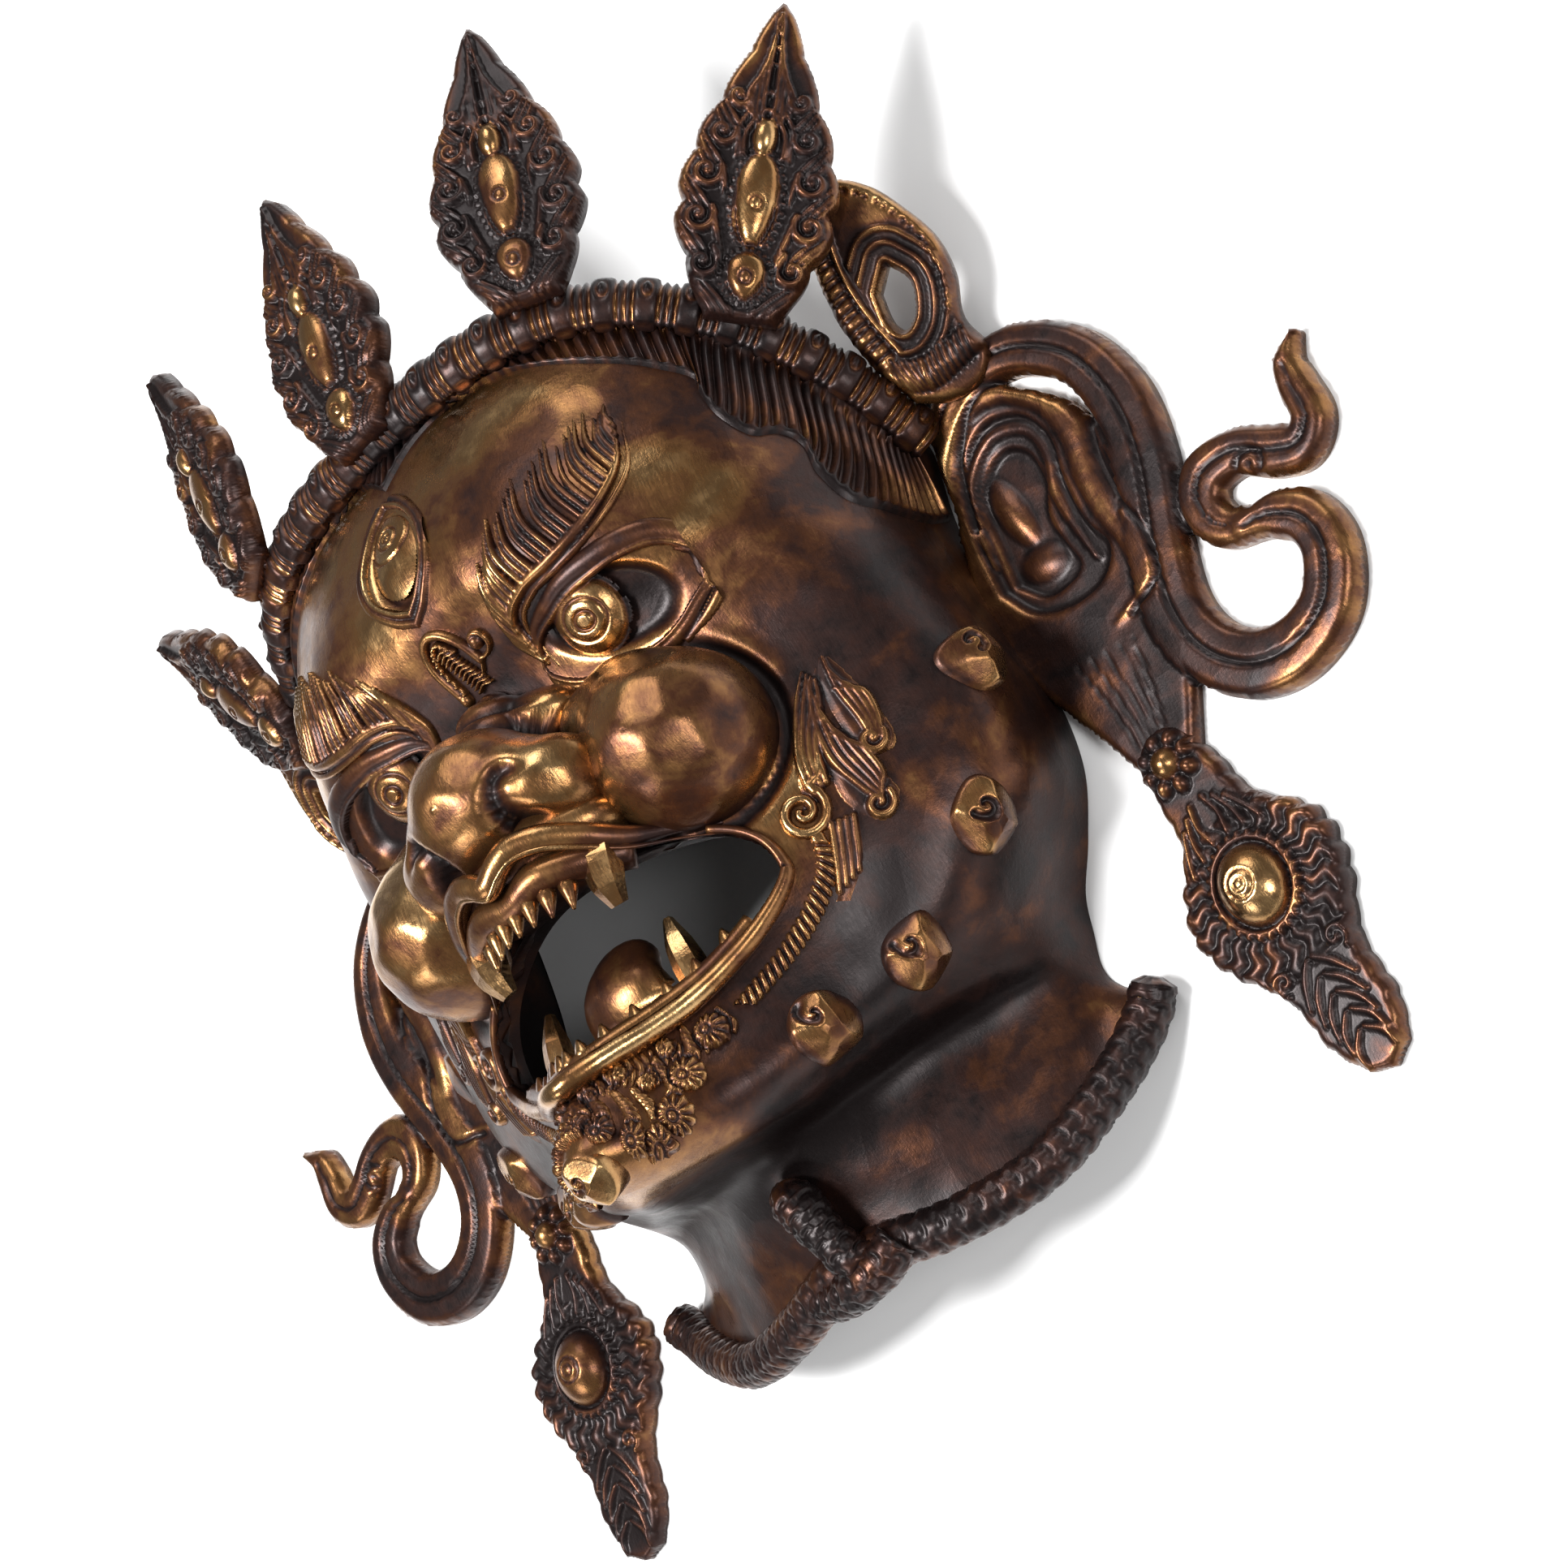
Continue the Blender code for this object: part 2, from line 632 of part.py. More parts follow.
def build_beard(bm):
    for side in (-1, 1):
        spots = smooth_path(beard_line, 13)
        places, normals = zip(*[on_head(c, r, side, 0.3) for c, r in spots])
        sweep(bm, places, normals, 3.6, 2.6, 6)


def build_scrolls(bm):
    for side in (-1, 1):
        for column, row, reach in ((1.68, 6.95, 0.24), (1.0, 8.75, 0.22), (0.45, 8.85, 0.2)):
            places, normals = [], []
            for k in range(13):
                turn = k / 12 * 2 * math.pi * scroll_turns
                radius = reach * (1 - 0.72 * k / 12)
                place, normal = on_head(column + radius * math.cos(turn) * 0.9,
                                        row + radius * math.sin(turn) * 1.6, side, 0.4)
                places.append(place)
                normals.append(normal)
            sweep(bm, places, normals, 1.9, 2.4, 4)


def build_flames(bm):
    for side in (-1, 1):
        for start, end in (((1.75, 6.7), (1.82, 5.9)), ((1.95, 7.0), (2.15, 6.25)), ((1.95, 7.1), (2.0, 7.7))):
            spots = smooth_path([start, ((start[0] + end[0]) / 2 + 0.06, (start[1] + end[1]) / 2), end], 7)
            places, normals = zip(*[on_head(c, r, side, 0.3) for c, r in spots])
            sweep(bm, places, normals, [4.0, 5.0, 5.0, 4.4, 3.4, 2.2, 0.9], 2.4, 4)


# Collar: a snake along the lower edge whose head rises over its tail at the middle
def build_collar(bm):
    places, normals = [], []
    for share in np.linspace(-1, 1, 29):
        column = abs(share) * (column_count - 1)
        place, normal = on_head(column, row_count - 1, 1 if share >= 0 else -1, 0.5)
        place[2] = max(place[2], collar_radius * 0.98)
        places.append(place)
        normals.append(normal)
    sweep(bm, places, normals, collar_radius, collar_radius, 8)


def build_snake_head(bm):
    low = scaled(0, -156, 44)
    path = smooth_path([low + np.array([7, -3, 2]), low + np.array([4, 6, 7]), scaled(-3, -137, 53)], 7)
    sweep(bm, path, [np.array([0, 0, 1.0])] * 7, [7, 7, 6.5, 6, 6.5, 7, 4], [6, 6, 5.5, 5, 5.5, 6, 3.5], 8)


def build_snake_tail(bm):
    path = smooth_path([scaled(22, -152, 41), scaled(10, -158, 44), scaled(-8, -158, 44)], 7)
    sweep(bm, path, [np.array([0, 0, 1.0])] * 7, 6.4, 6.4, 8)


# Everything below this level is planed off, which leaves flat seats on the head rim and the plates
level = 0.0


def build_level_cut(bm):
    reach = 400.0
    bmesh.ops.create_cube(bm, size=reach * 2 * mm, matrix=Matrix.Translation((0, 0, (level - reach) * mm)))


# One casting. The outer bodies are fused and hollowed, the mouth parts are set in and fused too,
# the result is thinned to few faces, and a level cut gives the plates their flat backs.
outer_builders = [
    build_skin, build_face, build_ears, build_ribbons, build_swirls, build_ear_folds,
    build_pendants, build_pendant_bosses, build_leaves, build_cabochons, build_bows,
    build_bow_knots, build_hair, build_band, build_studs, build_brows, build_beard,
    build_scrolls, build_flames, build_collar, build_snake_head, build_snake_tail,
]
mouth_builders = [build_lips, build_lower_lip, build_gums, build_teeth, build_fangs, build_tongue]


def evaluated_mesh(item):
    bpy.context.view_layer.update()
    return bpy.data.meshes.new_from_object(item.evaluated_get(bpy.context.evaluated_depsgraph_get()))


def fuse_and_thin(item, face_count):
    fuse = item.modifiers.new("fuse", 'REMESH')
    fuse.mode = 'VOXEL'
    fuse.voxel_size = fuse_grain * mm
    fused = evaluated_mesh(item)
    thin = item.modifiers.new("thin", 'DECIMATE')
    thin.ratio = min(1.0, face_count / (2 * len(fused.polygons)))
    bpy.data.meshes.remove(fused)


bm = bmesh.new()
for build in outer_builders:
    build(bm)
blank = mesh_object("blank", bm, cutters)
blank.hide_render = True
blank.display_type = 'WIRE'
fuse_and_thin(blank, blank_faces)
apply_tool(blank, tool("cavity", build_cavity), 'DIFFERENCE')
apply_tool(blank, tool("cheek_cavity", build_cheek_cavity), 'DIFFERENCE')
apply_tool(blank, tool("mouth", build_mouth), 'DIFFERENCE')

bm = bmesh.new()
bm.from_mesh(evaluated_mesh(blank))
for build in mouth_builders:
    build(bm)
mask = mesh_object("mask", bm, mask_parts)
fuse_and_thin(mask, mask_faces)
apply_tool(mask, tool("level_cut", build_level_cut), 'DIFFERENCE')

# The frame's origin is the middle of the outline, at the level the mask lies on
finished = evaluated_mesh(mask)
corners = np.array([v.co[:2] for v in finished.vertices])
middle = (corners.min(axis=0) + corners.max(axis=0)) / 2
bpy.data.meshes.remove(finished)
mask.location = (-middle[0], -middle[1], 0.0)

bronze = bpy.data.materials.new("patinated_bronze")
bronze.use_nodes = True
finish = bronze.node_tree.nodes["Principled BSDF"]
finish.inputs["Base Color"].default_value = (0.16, 0.075, 0.035, 1)
finish.inputs["Metallic"].default_value = 0.85
finish.inputs["Roughness"].default_value = 0.38
mask.data.materials.append(bronze)
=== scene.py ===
# Wrathful temple mask of patinated cast bronze, lying on its open back and seen from above.
# Lengths in the settings are millimetres: x to the viewer's right, y to the crown, z out of the face.
import json
import math

import bpy
import numpy as np
from mathutils import Matrix, Vector

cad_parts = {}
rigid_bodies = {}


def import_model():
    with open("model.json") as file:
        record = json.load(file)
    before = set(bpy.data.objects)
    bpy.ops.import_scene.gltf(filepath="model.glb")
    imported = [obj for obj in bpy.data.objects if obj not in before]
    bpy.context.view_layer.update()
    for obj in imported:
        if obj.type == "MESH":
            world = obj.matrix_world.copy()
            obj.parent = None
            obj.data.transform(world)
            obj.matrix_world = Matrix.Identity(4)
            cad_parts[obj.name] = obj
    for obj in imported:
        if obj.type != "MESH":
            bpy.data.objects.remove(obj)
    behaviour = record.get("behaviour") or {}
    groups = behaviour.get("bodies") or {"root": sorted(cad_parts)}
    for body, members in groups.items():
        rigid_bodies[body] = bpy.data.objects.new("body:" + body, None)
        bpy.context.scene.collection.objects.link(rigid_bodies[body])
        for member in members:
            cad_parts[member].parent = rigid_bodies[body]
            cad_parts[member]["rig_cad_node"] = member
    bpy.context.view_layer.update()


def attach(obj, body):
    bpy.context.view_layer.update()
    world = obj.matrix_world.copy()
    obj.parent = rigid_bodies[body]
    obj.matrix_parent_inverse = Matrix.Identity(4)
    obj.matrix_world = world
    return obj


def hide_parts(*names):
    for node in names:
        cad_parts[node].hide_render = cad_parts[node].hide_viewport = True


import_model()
for item in bpy.context.selected_objects:
    item.select_set(False)
print("frame loaded")

mm = 0.001
outlineMiddle = -0.9  # the CAD outline's middle along y, which the frame puts at its origin
front = np.array([0.0, 0.0, 1.0])

# The head as lofting lines from crown to collar, each from the middle to the rim
loftRows = [
    [(0, 90, 0), (28, 88, 0), (54, 80, 0), (76, 64, 0), (90, 46, 0)],
    [(0, 94, 44), (34, 93, 41), (62, 85, 34), (84, 67, 22), (96, 39, 0)],
    [(0, 91, 84), (38, 91, 79), (68, 85, 67), (91, 64, 44), (100, 31, 0)],
    [(0, 61, 101), (42, 57, 98), (76, 48, 76), (96, 28, 40), (97, 12, 0)],
    [(0, 34, 104), (46, 28, 100), (81, 18, 74), (99, 5, 38), (96, -6, 0)],
    [(0, 8, 88), (44, 5, 86), (84, -5, 66), (101, -16, 34), (97, -26, 0)],
    [(0, -22, 84), (42, -24, 76), (84, -30, 60), (103, -40, 34), (100, -48, 0)],
    [(0, -55, 98), (36, -60, 86), (74, -64, 62), (100, -66, 36), (98, -68, 0)],
    [(0, -102, 116), (28, -100, 92), (58, -92, 66), (88, -84, 40), (90, -84, 0)],
    [(0, -124, 127), (26, -121, 96), (50, -111, 66), (76, -100, 38), (82, -96, 0)],
    [(0, -131, 106), (22, -127, 84), (44, -117, 57), (68, -110, 31), (79, -106, 0)],
    [(0, -124, 64), (22, -123, 54), (44, -119, 38), (66, -116, 21), (77, -115, 0)],
    [(0, -139, 48), (26, -141, 42), (50, -140, 30), (70, -131, 15), (80, -122, 0)],
    [(0, -154, 42), (28, -159, 37), (54, -157, 26), (76, -144, 13), (90, -130, 0)],
]
net = np.array(loftRows, float)
wideNet = np.concatenate([net[:, 1:2] * (-1, 1, 1), net, net[:, -2:-1] * (1, 1, -1)], 1)
tallNet = np.concatenate([wideNet[1:2] * (1, 1, -1), wideNet, 2 * wideNet[-1:] - wideNet[-2:-1]], 0)
four = np.arange(4)


def curveWeights(t):
    return np.stack([-t + 2 * t * t - t ** 3, 2 - 5 * t * t + 3 * t ** 3,
                     t + 4 * t * t - 3 * t ** 3, -t * t + t ** 3], -1) / 2


def slopeWeights(t):
    return np.stack([-1 + 4 * t - 3 * t * t, -10 * t + 9 * t * t,
                     1 + 8 * t - 9 * t * t, -2 * t + 3 * t * t], -1) / 2


def unit(v):
    return v / (np.linalg.norm(v, axis=-1, keepdims=True) + 1e-9)


def headAt(u, v):  # column u is signed, row v runs from the crown down; gives places, normals, slopes
    u, v = np.broadcast_arrays(np.asarray(u, float), np.asarray(v, float))
    side = np.where(u < 0, -1.0, 1.0)[..., None] * (1, 0, 0) + (0, 1, 1)
    a = np.abs(u)
    j = np.clip(np.floor(a), 0, 3).astype(int)
    i = np.clip(np.floor(v), 0, 12).astype(int)
    block = tallNet[i[..., None, None] + four[:, None], j[..., None, None] + four]
    wu, wv = curveWeights(a - j), curveWeights(v - i)
    place = np.einsum("...i,...j,...ijk->...k", wv, wu, block)
    alongU = np.einsum("...i,...j,...ijk->...k", wv, slopeWeights(a - j), block)
    alongV = np.einsum("...i,...j,...ijk->...k", slopeWeights(v - i), wu, block)
    normal = unit(np.cross(alongV, alongU))
    sign = np.where(u < 0, -1.0, 1.0)[..., None]
    return place * side, normal * side, alongU * side * sign, alongV * side


coarseU, coarseV = np.meshgrid(np.linspace(-4, 4, 65), np.linspace(0, 13, 105))
coarsePlaces = headAt(coarseU, coarseV)[0]
seenFromFront = coarsePlaces[..., 2] > 12
coarseFlat = coarsePlaces[seenFromFront]
coarseSpots = np.stack([coarseU[seenFromFront], coarseV[seenFromFront]], -1)


def spotUnder(x, y):  # the (u, v) whose place on the head lies under a point seen from the front
    x, y = np.broadcast_arrays(np.asarray(x, float), np.asarray(y, float))
    flatX, flatY = x.ravel(), y.ravel()
    spots = np.empty((flatX.size, 2))
    for k in range(0, flatX.size, 4000):
        dx = flatX[k:k + 4000, None] - coarseFlat[:, 0]
        dy = flatY[k:k + 4000, None] - coarseFlat[:, 1]
        gap = dx ** 2 + dy ** 2
        spots[k:k + 4000] = coarseSpots[gap.argmin(1)]
    for _ in range(5):
        place, _, alongU, alongV = headAt(spots[:, 0], spots[:, 1])
        ex, ey = flatX - place[:, 0], flatY - place[:, 1]
        det = alongU[:, 0] * alongV[:, 1] - alongU[:, 1] * alongV[:, 0]
        det = np.where(np.abs(det) < 1.0, np.where(det < 0, -1.0, 1.0), det)
        spots[:, 0] += np.clip((ex * alongV[:, 1] - ey * alongV[:, 0]) / det, -0.4, 0.4)
        spots[:, 1] += np.clip((ey * alongU[:, 0] - ex * alongU[:, 1]) / det, -0.4, 0.4)
        spots[:, 0] = np.clip(spots[:, 0], -4, 4)
        spots[:, 1] = np.clip(spots[:, 1], 0, 13)
    return spots[:, 0].reshape(x.shape), spots[:, 1].reshape(x.shape)


def frontHeight(x, y):
    return headAt(*spotUnder(x, y))[0][..., 2]


def smoothStep(low, high, x):
    t = np.clip((x - low) / (high - low), 0, 1)
    return t * t * (3 - 2 * t)


def softMax(a, b, k):
    return 0.5 * (a + b + np.sqrt((a - b) ** 2 + k * k))


def through(points, count):  # a smooth curve through points
    points = np.array(points, float)
    ends = np.concatenate([2 * points[:1] - points[1:2], points, 2 * points[-1:] - points[-2:-1]])
    places = np.linspace(0, len(points) - 1, count)
    start = np.clip(np.floor(places).astype(int), 0, len(points) - 2)
    return np.einsum("ni,nik->nk", curveWeights(places - start), ends[start[:, None] + four])


def valueNoise(points, size, seed):  # smooth lumps of about the given size, from -1 to 1
    table = np.random.default_rng(seed).uniform(-1, 1, 4096)
    p = points / size
    cell = np.floor(p).astype(int)
    f = p - cell
    f = f * f * (3 - 2 * f)
    total = 0.0
    for corner in np.ndindex(2, 2, 2):
        c = cell + corner
        pick = table[(c[..., 0] * 73 + c[..., 1] * 1579 + c[..., 2] * 2833) % 4096]
        weight = np.prod(np.where(corner, f, 1 - f), axis=-1)
        total = total + pick * weight
    return total


# Meshes: every piece is written once from its arrays, in the row frame
def addPiece(name, places, faces, tint=0.0, smooth=True):
    mesh = bpy.data.meshes.new(name)
    rowPlaces = (places - (0, outlineMiddle, 0)) * mm
    rowPlaces[:, 2] = np.maximum(rowPlaces[:, 2], 0.0)
    mesh.from_pydata(rowPlaces.tolist(), [], faces if isinstance(faces, list) else faces.tolist())
    mesh.validate()
    mesh.update()
    piece = bpy.data.objects.new(name, mesh)
    bpy.context.scene.collection.objects.link(piece)
    if smooth:
        mesh.shade_smooth()
    paintRelief(mesh, tint)
    return piece


def addBoth(name, places, faces, tint):  # a piece on the right and its mirror image
    addPiece(name + "Right", places, faces, tint)
    mirrored = [f[::-1] for f in faces] if isinstance(faces, list) else faces[:, ::-1]
    addPiece(name + "Left", places * (-1, 1, 1), mirrored, tint)


# how far each point stands off the smoothed mesh, close by and over a wider reach
def paintRelief(mesh, tint):
    count = len(mesh.vertices)
    places, normals = np.empty(count * 3), np.empty(count * 3)
    mesh.vertices.foreach_get("co", places)
    mesh.vertices.foreach_get("normal", normals)
    places, normals = places.reshape(-1, 3) / mm, normals.reshape(-1, 3)
    edges = np.empty(len(mesh.edges) * 2, int)
    mesh.edges.foreach_get("vertices", edges)
    a, b = edges.reshape(-1, 2).T
    degree = np.maximum(np.bincount(a, minlength=count) + np.bincount(b, minlength=count), 1)
    step = np.linalg.norm(places[a] - places[b], axis=1).mean()
    done, soft = 0, places.copy()
    for name, reach, gain, lift, most in (("relief", 1.6, 0.55, 0.5, 40), ("bulge", 6.0, 1.8, 0.0, 260)):
        rounds = int(np.clip((reach / step) ** 2 * 2, 3, most))
        for _ in range(rounds - done):
            total = [np.bincount(a, soft[b, k], count) + np.bincount(b, soft[a, k], count)
                     for k in range(3)]
            soft = np.stack(total, 1) / degree[:, None]
        done = max(done, rounds)
        stand = ((places - soft) * normals).sum(1) / gain
        value = lift + np.where(stand > 0, 0.17, 0.27) * np.tanh(stand)
        if name == "relief":
            value = value + np.broadcast_to(tint, count)
        mesh.attributes.new(name, 'FLOAT', 'POINT').data.foreach_set("value", value.astype(np.float32))


def gridFaces(rows, columns, closedColumns=False, start=0):
    across = np.arange(columns if closedColumns else columns - 1)
    i, j = np.meshgrid(np.arange(rows - 1), across, indexing="ij")
    n = (j + 1) % columns
    corners = [i * columns + j, (i + 1) * columns + j, (i + 1) * columns + n, i * columns + n]
    return (start + np.stack(corners, -1)).reshape(-1, 4)


def joinParts(parts):  # (places, faces) arrays of several shells into one
    places, faces, start = [], [], 0
    for p, f in parts:
        places.append(p)
        faces += [[int(k) + start for k in face] for face in f]
        start += len(p)
    return np.concatenate(places), faces


# A closed bar along a path; halfWidths lie across the normal, halfHeights along it
def bar(path, normals, halfWidths, halfHeights, sides=10, pinch=1.0):
    path = np.asarray(path, float)
    count = len(path)
    tangent = unit(np.gradient(path, axis=0))
    normals = np.broadcast_to(np.asarray(normals, float), path.shape)
    n = unit(normals - tangent * (normals * tangent).sum(1, keepdims=True))
    w = np.cross(tangent, n)
    halfWidths = np.broadcast_to(halfWidths, count)[:, None, None]
    halfHeights = np.broadcast_to(halfHeights, count)[:, None, None]
    turn = (np.arange(sides) + 0.5) / sides * 2 * math.pi
    c, s = np.cos(turn)[None, :, None], np.sin(turn)[None, :, None]
    c, s = np.sign(c) * np.abs(c) ** pinch, np.sign(s) * np.abs(s) ** pinch
    rings = path[:, None] + w[:, None] * c * halfWidths + n[:, None] * s * halfHeights
    places = np.concatenate([rings.reshape(-1, 3), path[:1], path[-1:]])
    faces = gridFaces(count, sides, True).tolist()
    first, last, ring = count * sides, count * sides + 1, (count - 1) * sides
    for k in range(sides):
        m = (k + 1) % sides
        faces.append([first, k, m])
        faces.append([last, ring + m, ring + k])
    return places, faces


def roundEnds(count, reach=0.12, least=0.15):
    t = np.linspace(0, 1, count)
    edge = np.minimum(t, 1 - t) / reach
    return least + (1 - least) * np.sqrt(np.clip(1 - (1 - np.clip(edge, 0, 1)) ** 2, 0, 1))


# A dome grown from a centre: the farthest of several ellipsoids in each direction,
# sunk into the head at its edge
def growCap(centre, axis, lumps, rings, spokes, blend, sink=1.6, carve=None):
    centre, axis = np.array(centre, float), unit(np.array(axis, float))
    right = unit(np.cross((0, 1, 0), axis))
    up = np.cross(axis, right)

    def reach(phi, theta):
        aside = np.cos(theta)[..., None] * right + np.sin(theta)[..., None] * up
        d = np.cos(phi)[..., None] * axis + np.sin(phi)[..., None] * aside
        far = np.full(phi.shape, 1.0)
        for lumpCentre, radii in lumps:
            q, m = (centre - np.array(lumpCentre, float)) / radii, d / radii
            a, b, c = (m * m).sum(-1), (q * m).sum(-1), (q * q).sum() - 1
            disc = b * b - a * c
            hit = np.where(disc > 0, (-b + np.sqrt(np.maximum(disc, 0))) / a, 0.0)
            far = softMax(far, hit, blend)
        return far, d

    theta = np.linspace(0, 2 * math.pi, spokes, endpoint=False)
    probe = np.linspace(0.2, 2.3, 70)
    far, d = reach(probe[:, None] + 0 * theta, theta[None] + 0 * probe[:, None])
    spots = centre + d * far[..., None]
    below = spots[..., 2] - frontHeight(spots[..., 0], spots[..., 1]) < -sink
    last = probe[np.where(below.any(0), below.argmax(0), len(probe) - 1)]
    kernel = np.array([1, 2, 3, 2, 1]) / 9
    last = sum(k * np.roll(last, s) for k, s in zip(kernel, (-2, -1, 0, 1, 2)))
    phi = np.linspace(0, 1, rings + 1)[1:, None] * last
    far, d = reach(phi, theta[None] + 0 * phi)
    places = centre + d * far[..., None]
    top = centre + axis * reach(np.zeros(1), np.zeros(1))[0][0]
    if carve:
        places = carve(places, d)
    places = np.concatenate([places.reshape(-1, 3), top[None]])
    faces = gridFaces(rings, spokes, True).tolist()
    hub = rings * spokes
    faces += [[hub, k, (k + 1) % spokes] for k in range(spokes)]
    return places, faces


# Relief drawn on flat coordinates: ridges and grooves along paths
def nearest(x, y, path):  # distance to a path, and how far along it the nearest place is
    best, along = np.full(x.shape, 1e9), np.zeros(x.shape)
    count = len(path) - 1
    for k in range(count):
        ax, ay = path[k]
        dx, dy = path[k + 1] - path[k]
        t = np.clip(((x - ax) * dx + (y - ay) * dy) / max(dx * dx + dy * dy, 1e-9), 0, 1)
        d = np.hypot(x - ax - t * dx, y - ay - t * dy)
        closer = d < best
        best, along = np.where(closer, d, best), np.where(closer, (k + t) / count, along)
    return best, along


def curve(points, perSpan=6):
    return through(points, (len(points) - 1) * perSpan + 1)


def spread(values, along):
    values = np.atleast_1d(np.asarray(values, float))
    return np.interp(along, np.linspace(0, 1, len(values)), values)


def nearPath(x, y, path, reach):
    low, high = path.min(0) - reach, path.max(0) + reach
    return (x > low[0]) & (x < high[0]) & (y > low[1]) & (y < high[1])


def ridge(height, x, y, path, width, rise, base=0.0, flat=0.5):
    near = nearPath(x, y, path, np.max(width))
    if near.any():
        d, along = nearest(x[near], y[near], path)
        t = 1 - (d / np.maximum(spread(width, along), 1e-3)) ** 2
        lift = np.where(t > 0, base + spread(rise, along) * np.maximum(t, 0) ** flat, -99)
        height[near] = np.maximum(height[near], lift)


def groove(height, x, y, path, width, depth):
    near = nearPath(x, y, path, np.max(width))
    if near.any():
        d, along = nearest(x[near], y[near], path)
        t = 1 - (d / np.maximum(spread(width, along), 1e-3)) ** 2
        height[near] -= spread(depth, along) * np.maximum(t, 0)


def dome(height, x, y, cx, cy, rx, ry, rise, base=0.0, turn=0.0, flat=0.5):
    c, s = math.cos(turn), math.sin(turn)
    px, py = ((x - cx) * c + (y - cy) * s) / rx, (-(x - cx) * s + (y - cy) * c) / ry
    t = 1 - px * px - py * py
    np.maximum(height, np.where(t > 0, base + rise * np.maximum(t, 0) ** flat, -99), out=height)


def spiral(cx, cy, radius, turns, start, hand=1, tail=None, count=30):  # from the outside to the middle
    t = np.linspace(0, 1, count)
    angle = start + hand * turns * 2 * math.pi * t
    r = radius * (1 - 0.88 * t)
    path = np.stack([cx + r * np.cos(angle), cy + r * np.sin(angle)], 1)
    if tail is not None:
        path = np.concatenate([through([*tail, path[0], path[2]], 8 * len(tail))[:-3], path])
    return path


# Ornament pads lie on the head: a fine grid on flat coordinates around one place of it
def padAt(u, v):
    place, normal, _, alongV = headAt(u, v)
    up = unit(-alongV + normal * (alongV @ normal))
    return dict(u=u, v=v, place=place, normal=normal, up=up, right=np.cross(up, normal))


def flatSpots(pad, spots):
    spots = np.array(spots, float)
    away = headAt(spots[:, 0], spots[:, 1])[0] - pad["place"]
    return np.stack([away @ pad["right"], away @ pad["up"]], 1)


def spotsOn(pad, a, b):
    u, v = np.full(a.shape, pad["u"], float), np.full(a.shape, pad["v"], float)
    for _ in range(7):
        place, _, alongU, alongV = headAt(u, v)
        away = place - pad["place"]
        ea, eb = a - away @ pad["right"], b - away @ pad["up"]
        ua, ub, va, vb = alongU @ pad["right"], alongU @ pad["up"], alongV @ pad["right"], alongV @ pad["up"]
        det = ua * vb - ub * va
        det = np.where(np.abs(det) < 5.0, np.where(det < 0, -5.0, 5.0), det)
        u = np.clip(u + np.clip((ea * vb - eb * va) / det, -0.5, 0.5), -4, 4)
        v = np.clip(v + np.clip((eb * ua - ea * ub) / det, -0.8, 0.8), 0, 13)
    return u, v


def addMirrored(name, places, faces, tint, sides):  # keeps only the points in use
    used, faces = np.unique(faces, return_inverse=True)
    faces = faces.reshape(-1, 4)
    tints = np.broadcast_to(tint, places.shape[:-1]).ravel()[used]
    for side in sides:
        label = name if len(sides) == 1 else name + ("Right" if side > 0 else "Left")
        flipped = faces if side > 0 else faces[:, ::-1]
        addPiece(label, places.reshape(-1, 3)[used] * (side, 1, 1), flipped, tints)


def addPad(name, pad, low, high, step, draw, onSkin=True, sides=(1, -1), hidden=-0.8, tint=0.0):
    a, b = np.meshgrid(np.arange(low[0], high[0], step), np.arange(low[1], high[1], step))
    height, shade = draw(a, b), 0.0
    if isinstance(height, tuple):
        height, shade = height
    u, v = spotsOn(pad, a, b)
    place, normal, _, _ = headAt(u, v)
    rise = skinRise(place) if onSkin else 0.0
    places = place + normal * np.maximum(height + rise, -30)[..., None]
    faces = gridFaces(*a.shape)
    top = height.ravel()[faces].max(1)
    faces = faces[top > hidden][:, ::-1]
    addMirrored(name, places, faces, tint + shade, sides)


# a pad on the head's own net
def addNetPad(name, pad, columns, rows, step, draw, sides=(1, -1), hidden=-0.8, tint=0.0):
    middle = headAt(np.mean(columns), np.mean(rows))
    counts = [int((span[1] - span[0]) * np.linalg.norm(slope) / step)
              for span, slope in zip((columns, rows), middle[2:])]
    u, v = np.meshgrid(np.linspace(*columns, counts[0]), np.linspace(*rows, counts[1]))
    place, normal, _, _ = headAt(u, v)
    away = place - pad["place"]
    a, b = away @ pad["right"], away @ pad["up"]
    height, shade = draw(a, b)
    lip = np.where(place[..., 2] > 20, mouthRadius(place[..., 0], place[..., 1]), 9)
    places = place + normal * (height + skinRise(place))[..., None]
    faces = gridFaces(*a.shape)
    faces = faces[(height.ravel()[faces].max(1) > hidden) & (lip.ravel()[faces].min(1) > 1.0)]
    addMirrored(name, places, faces, tint + shade, sides)


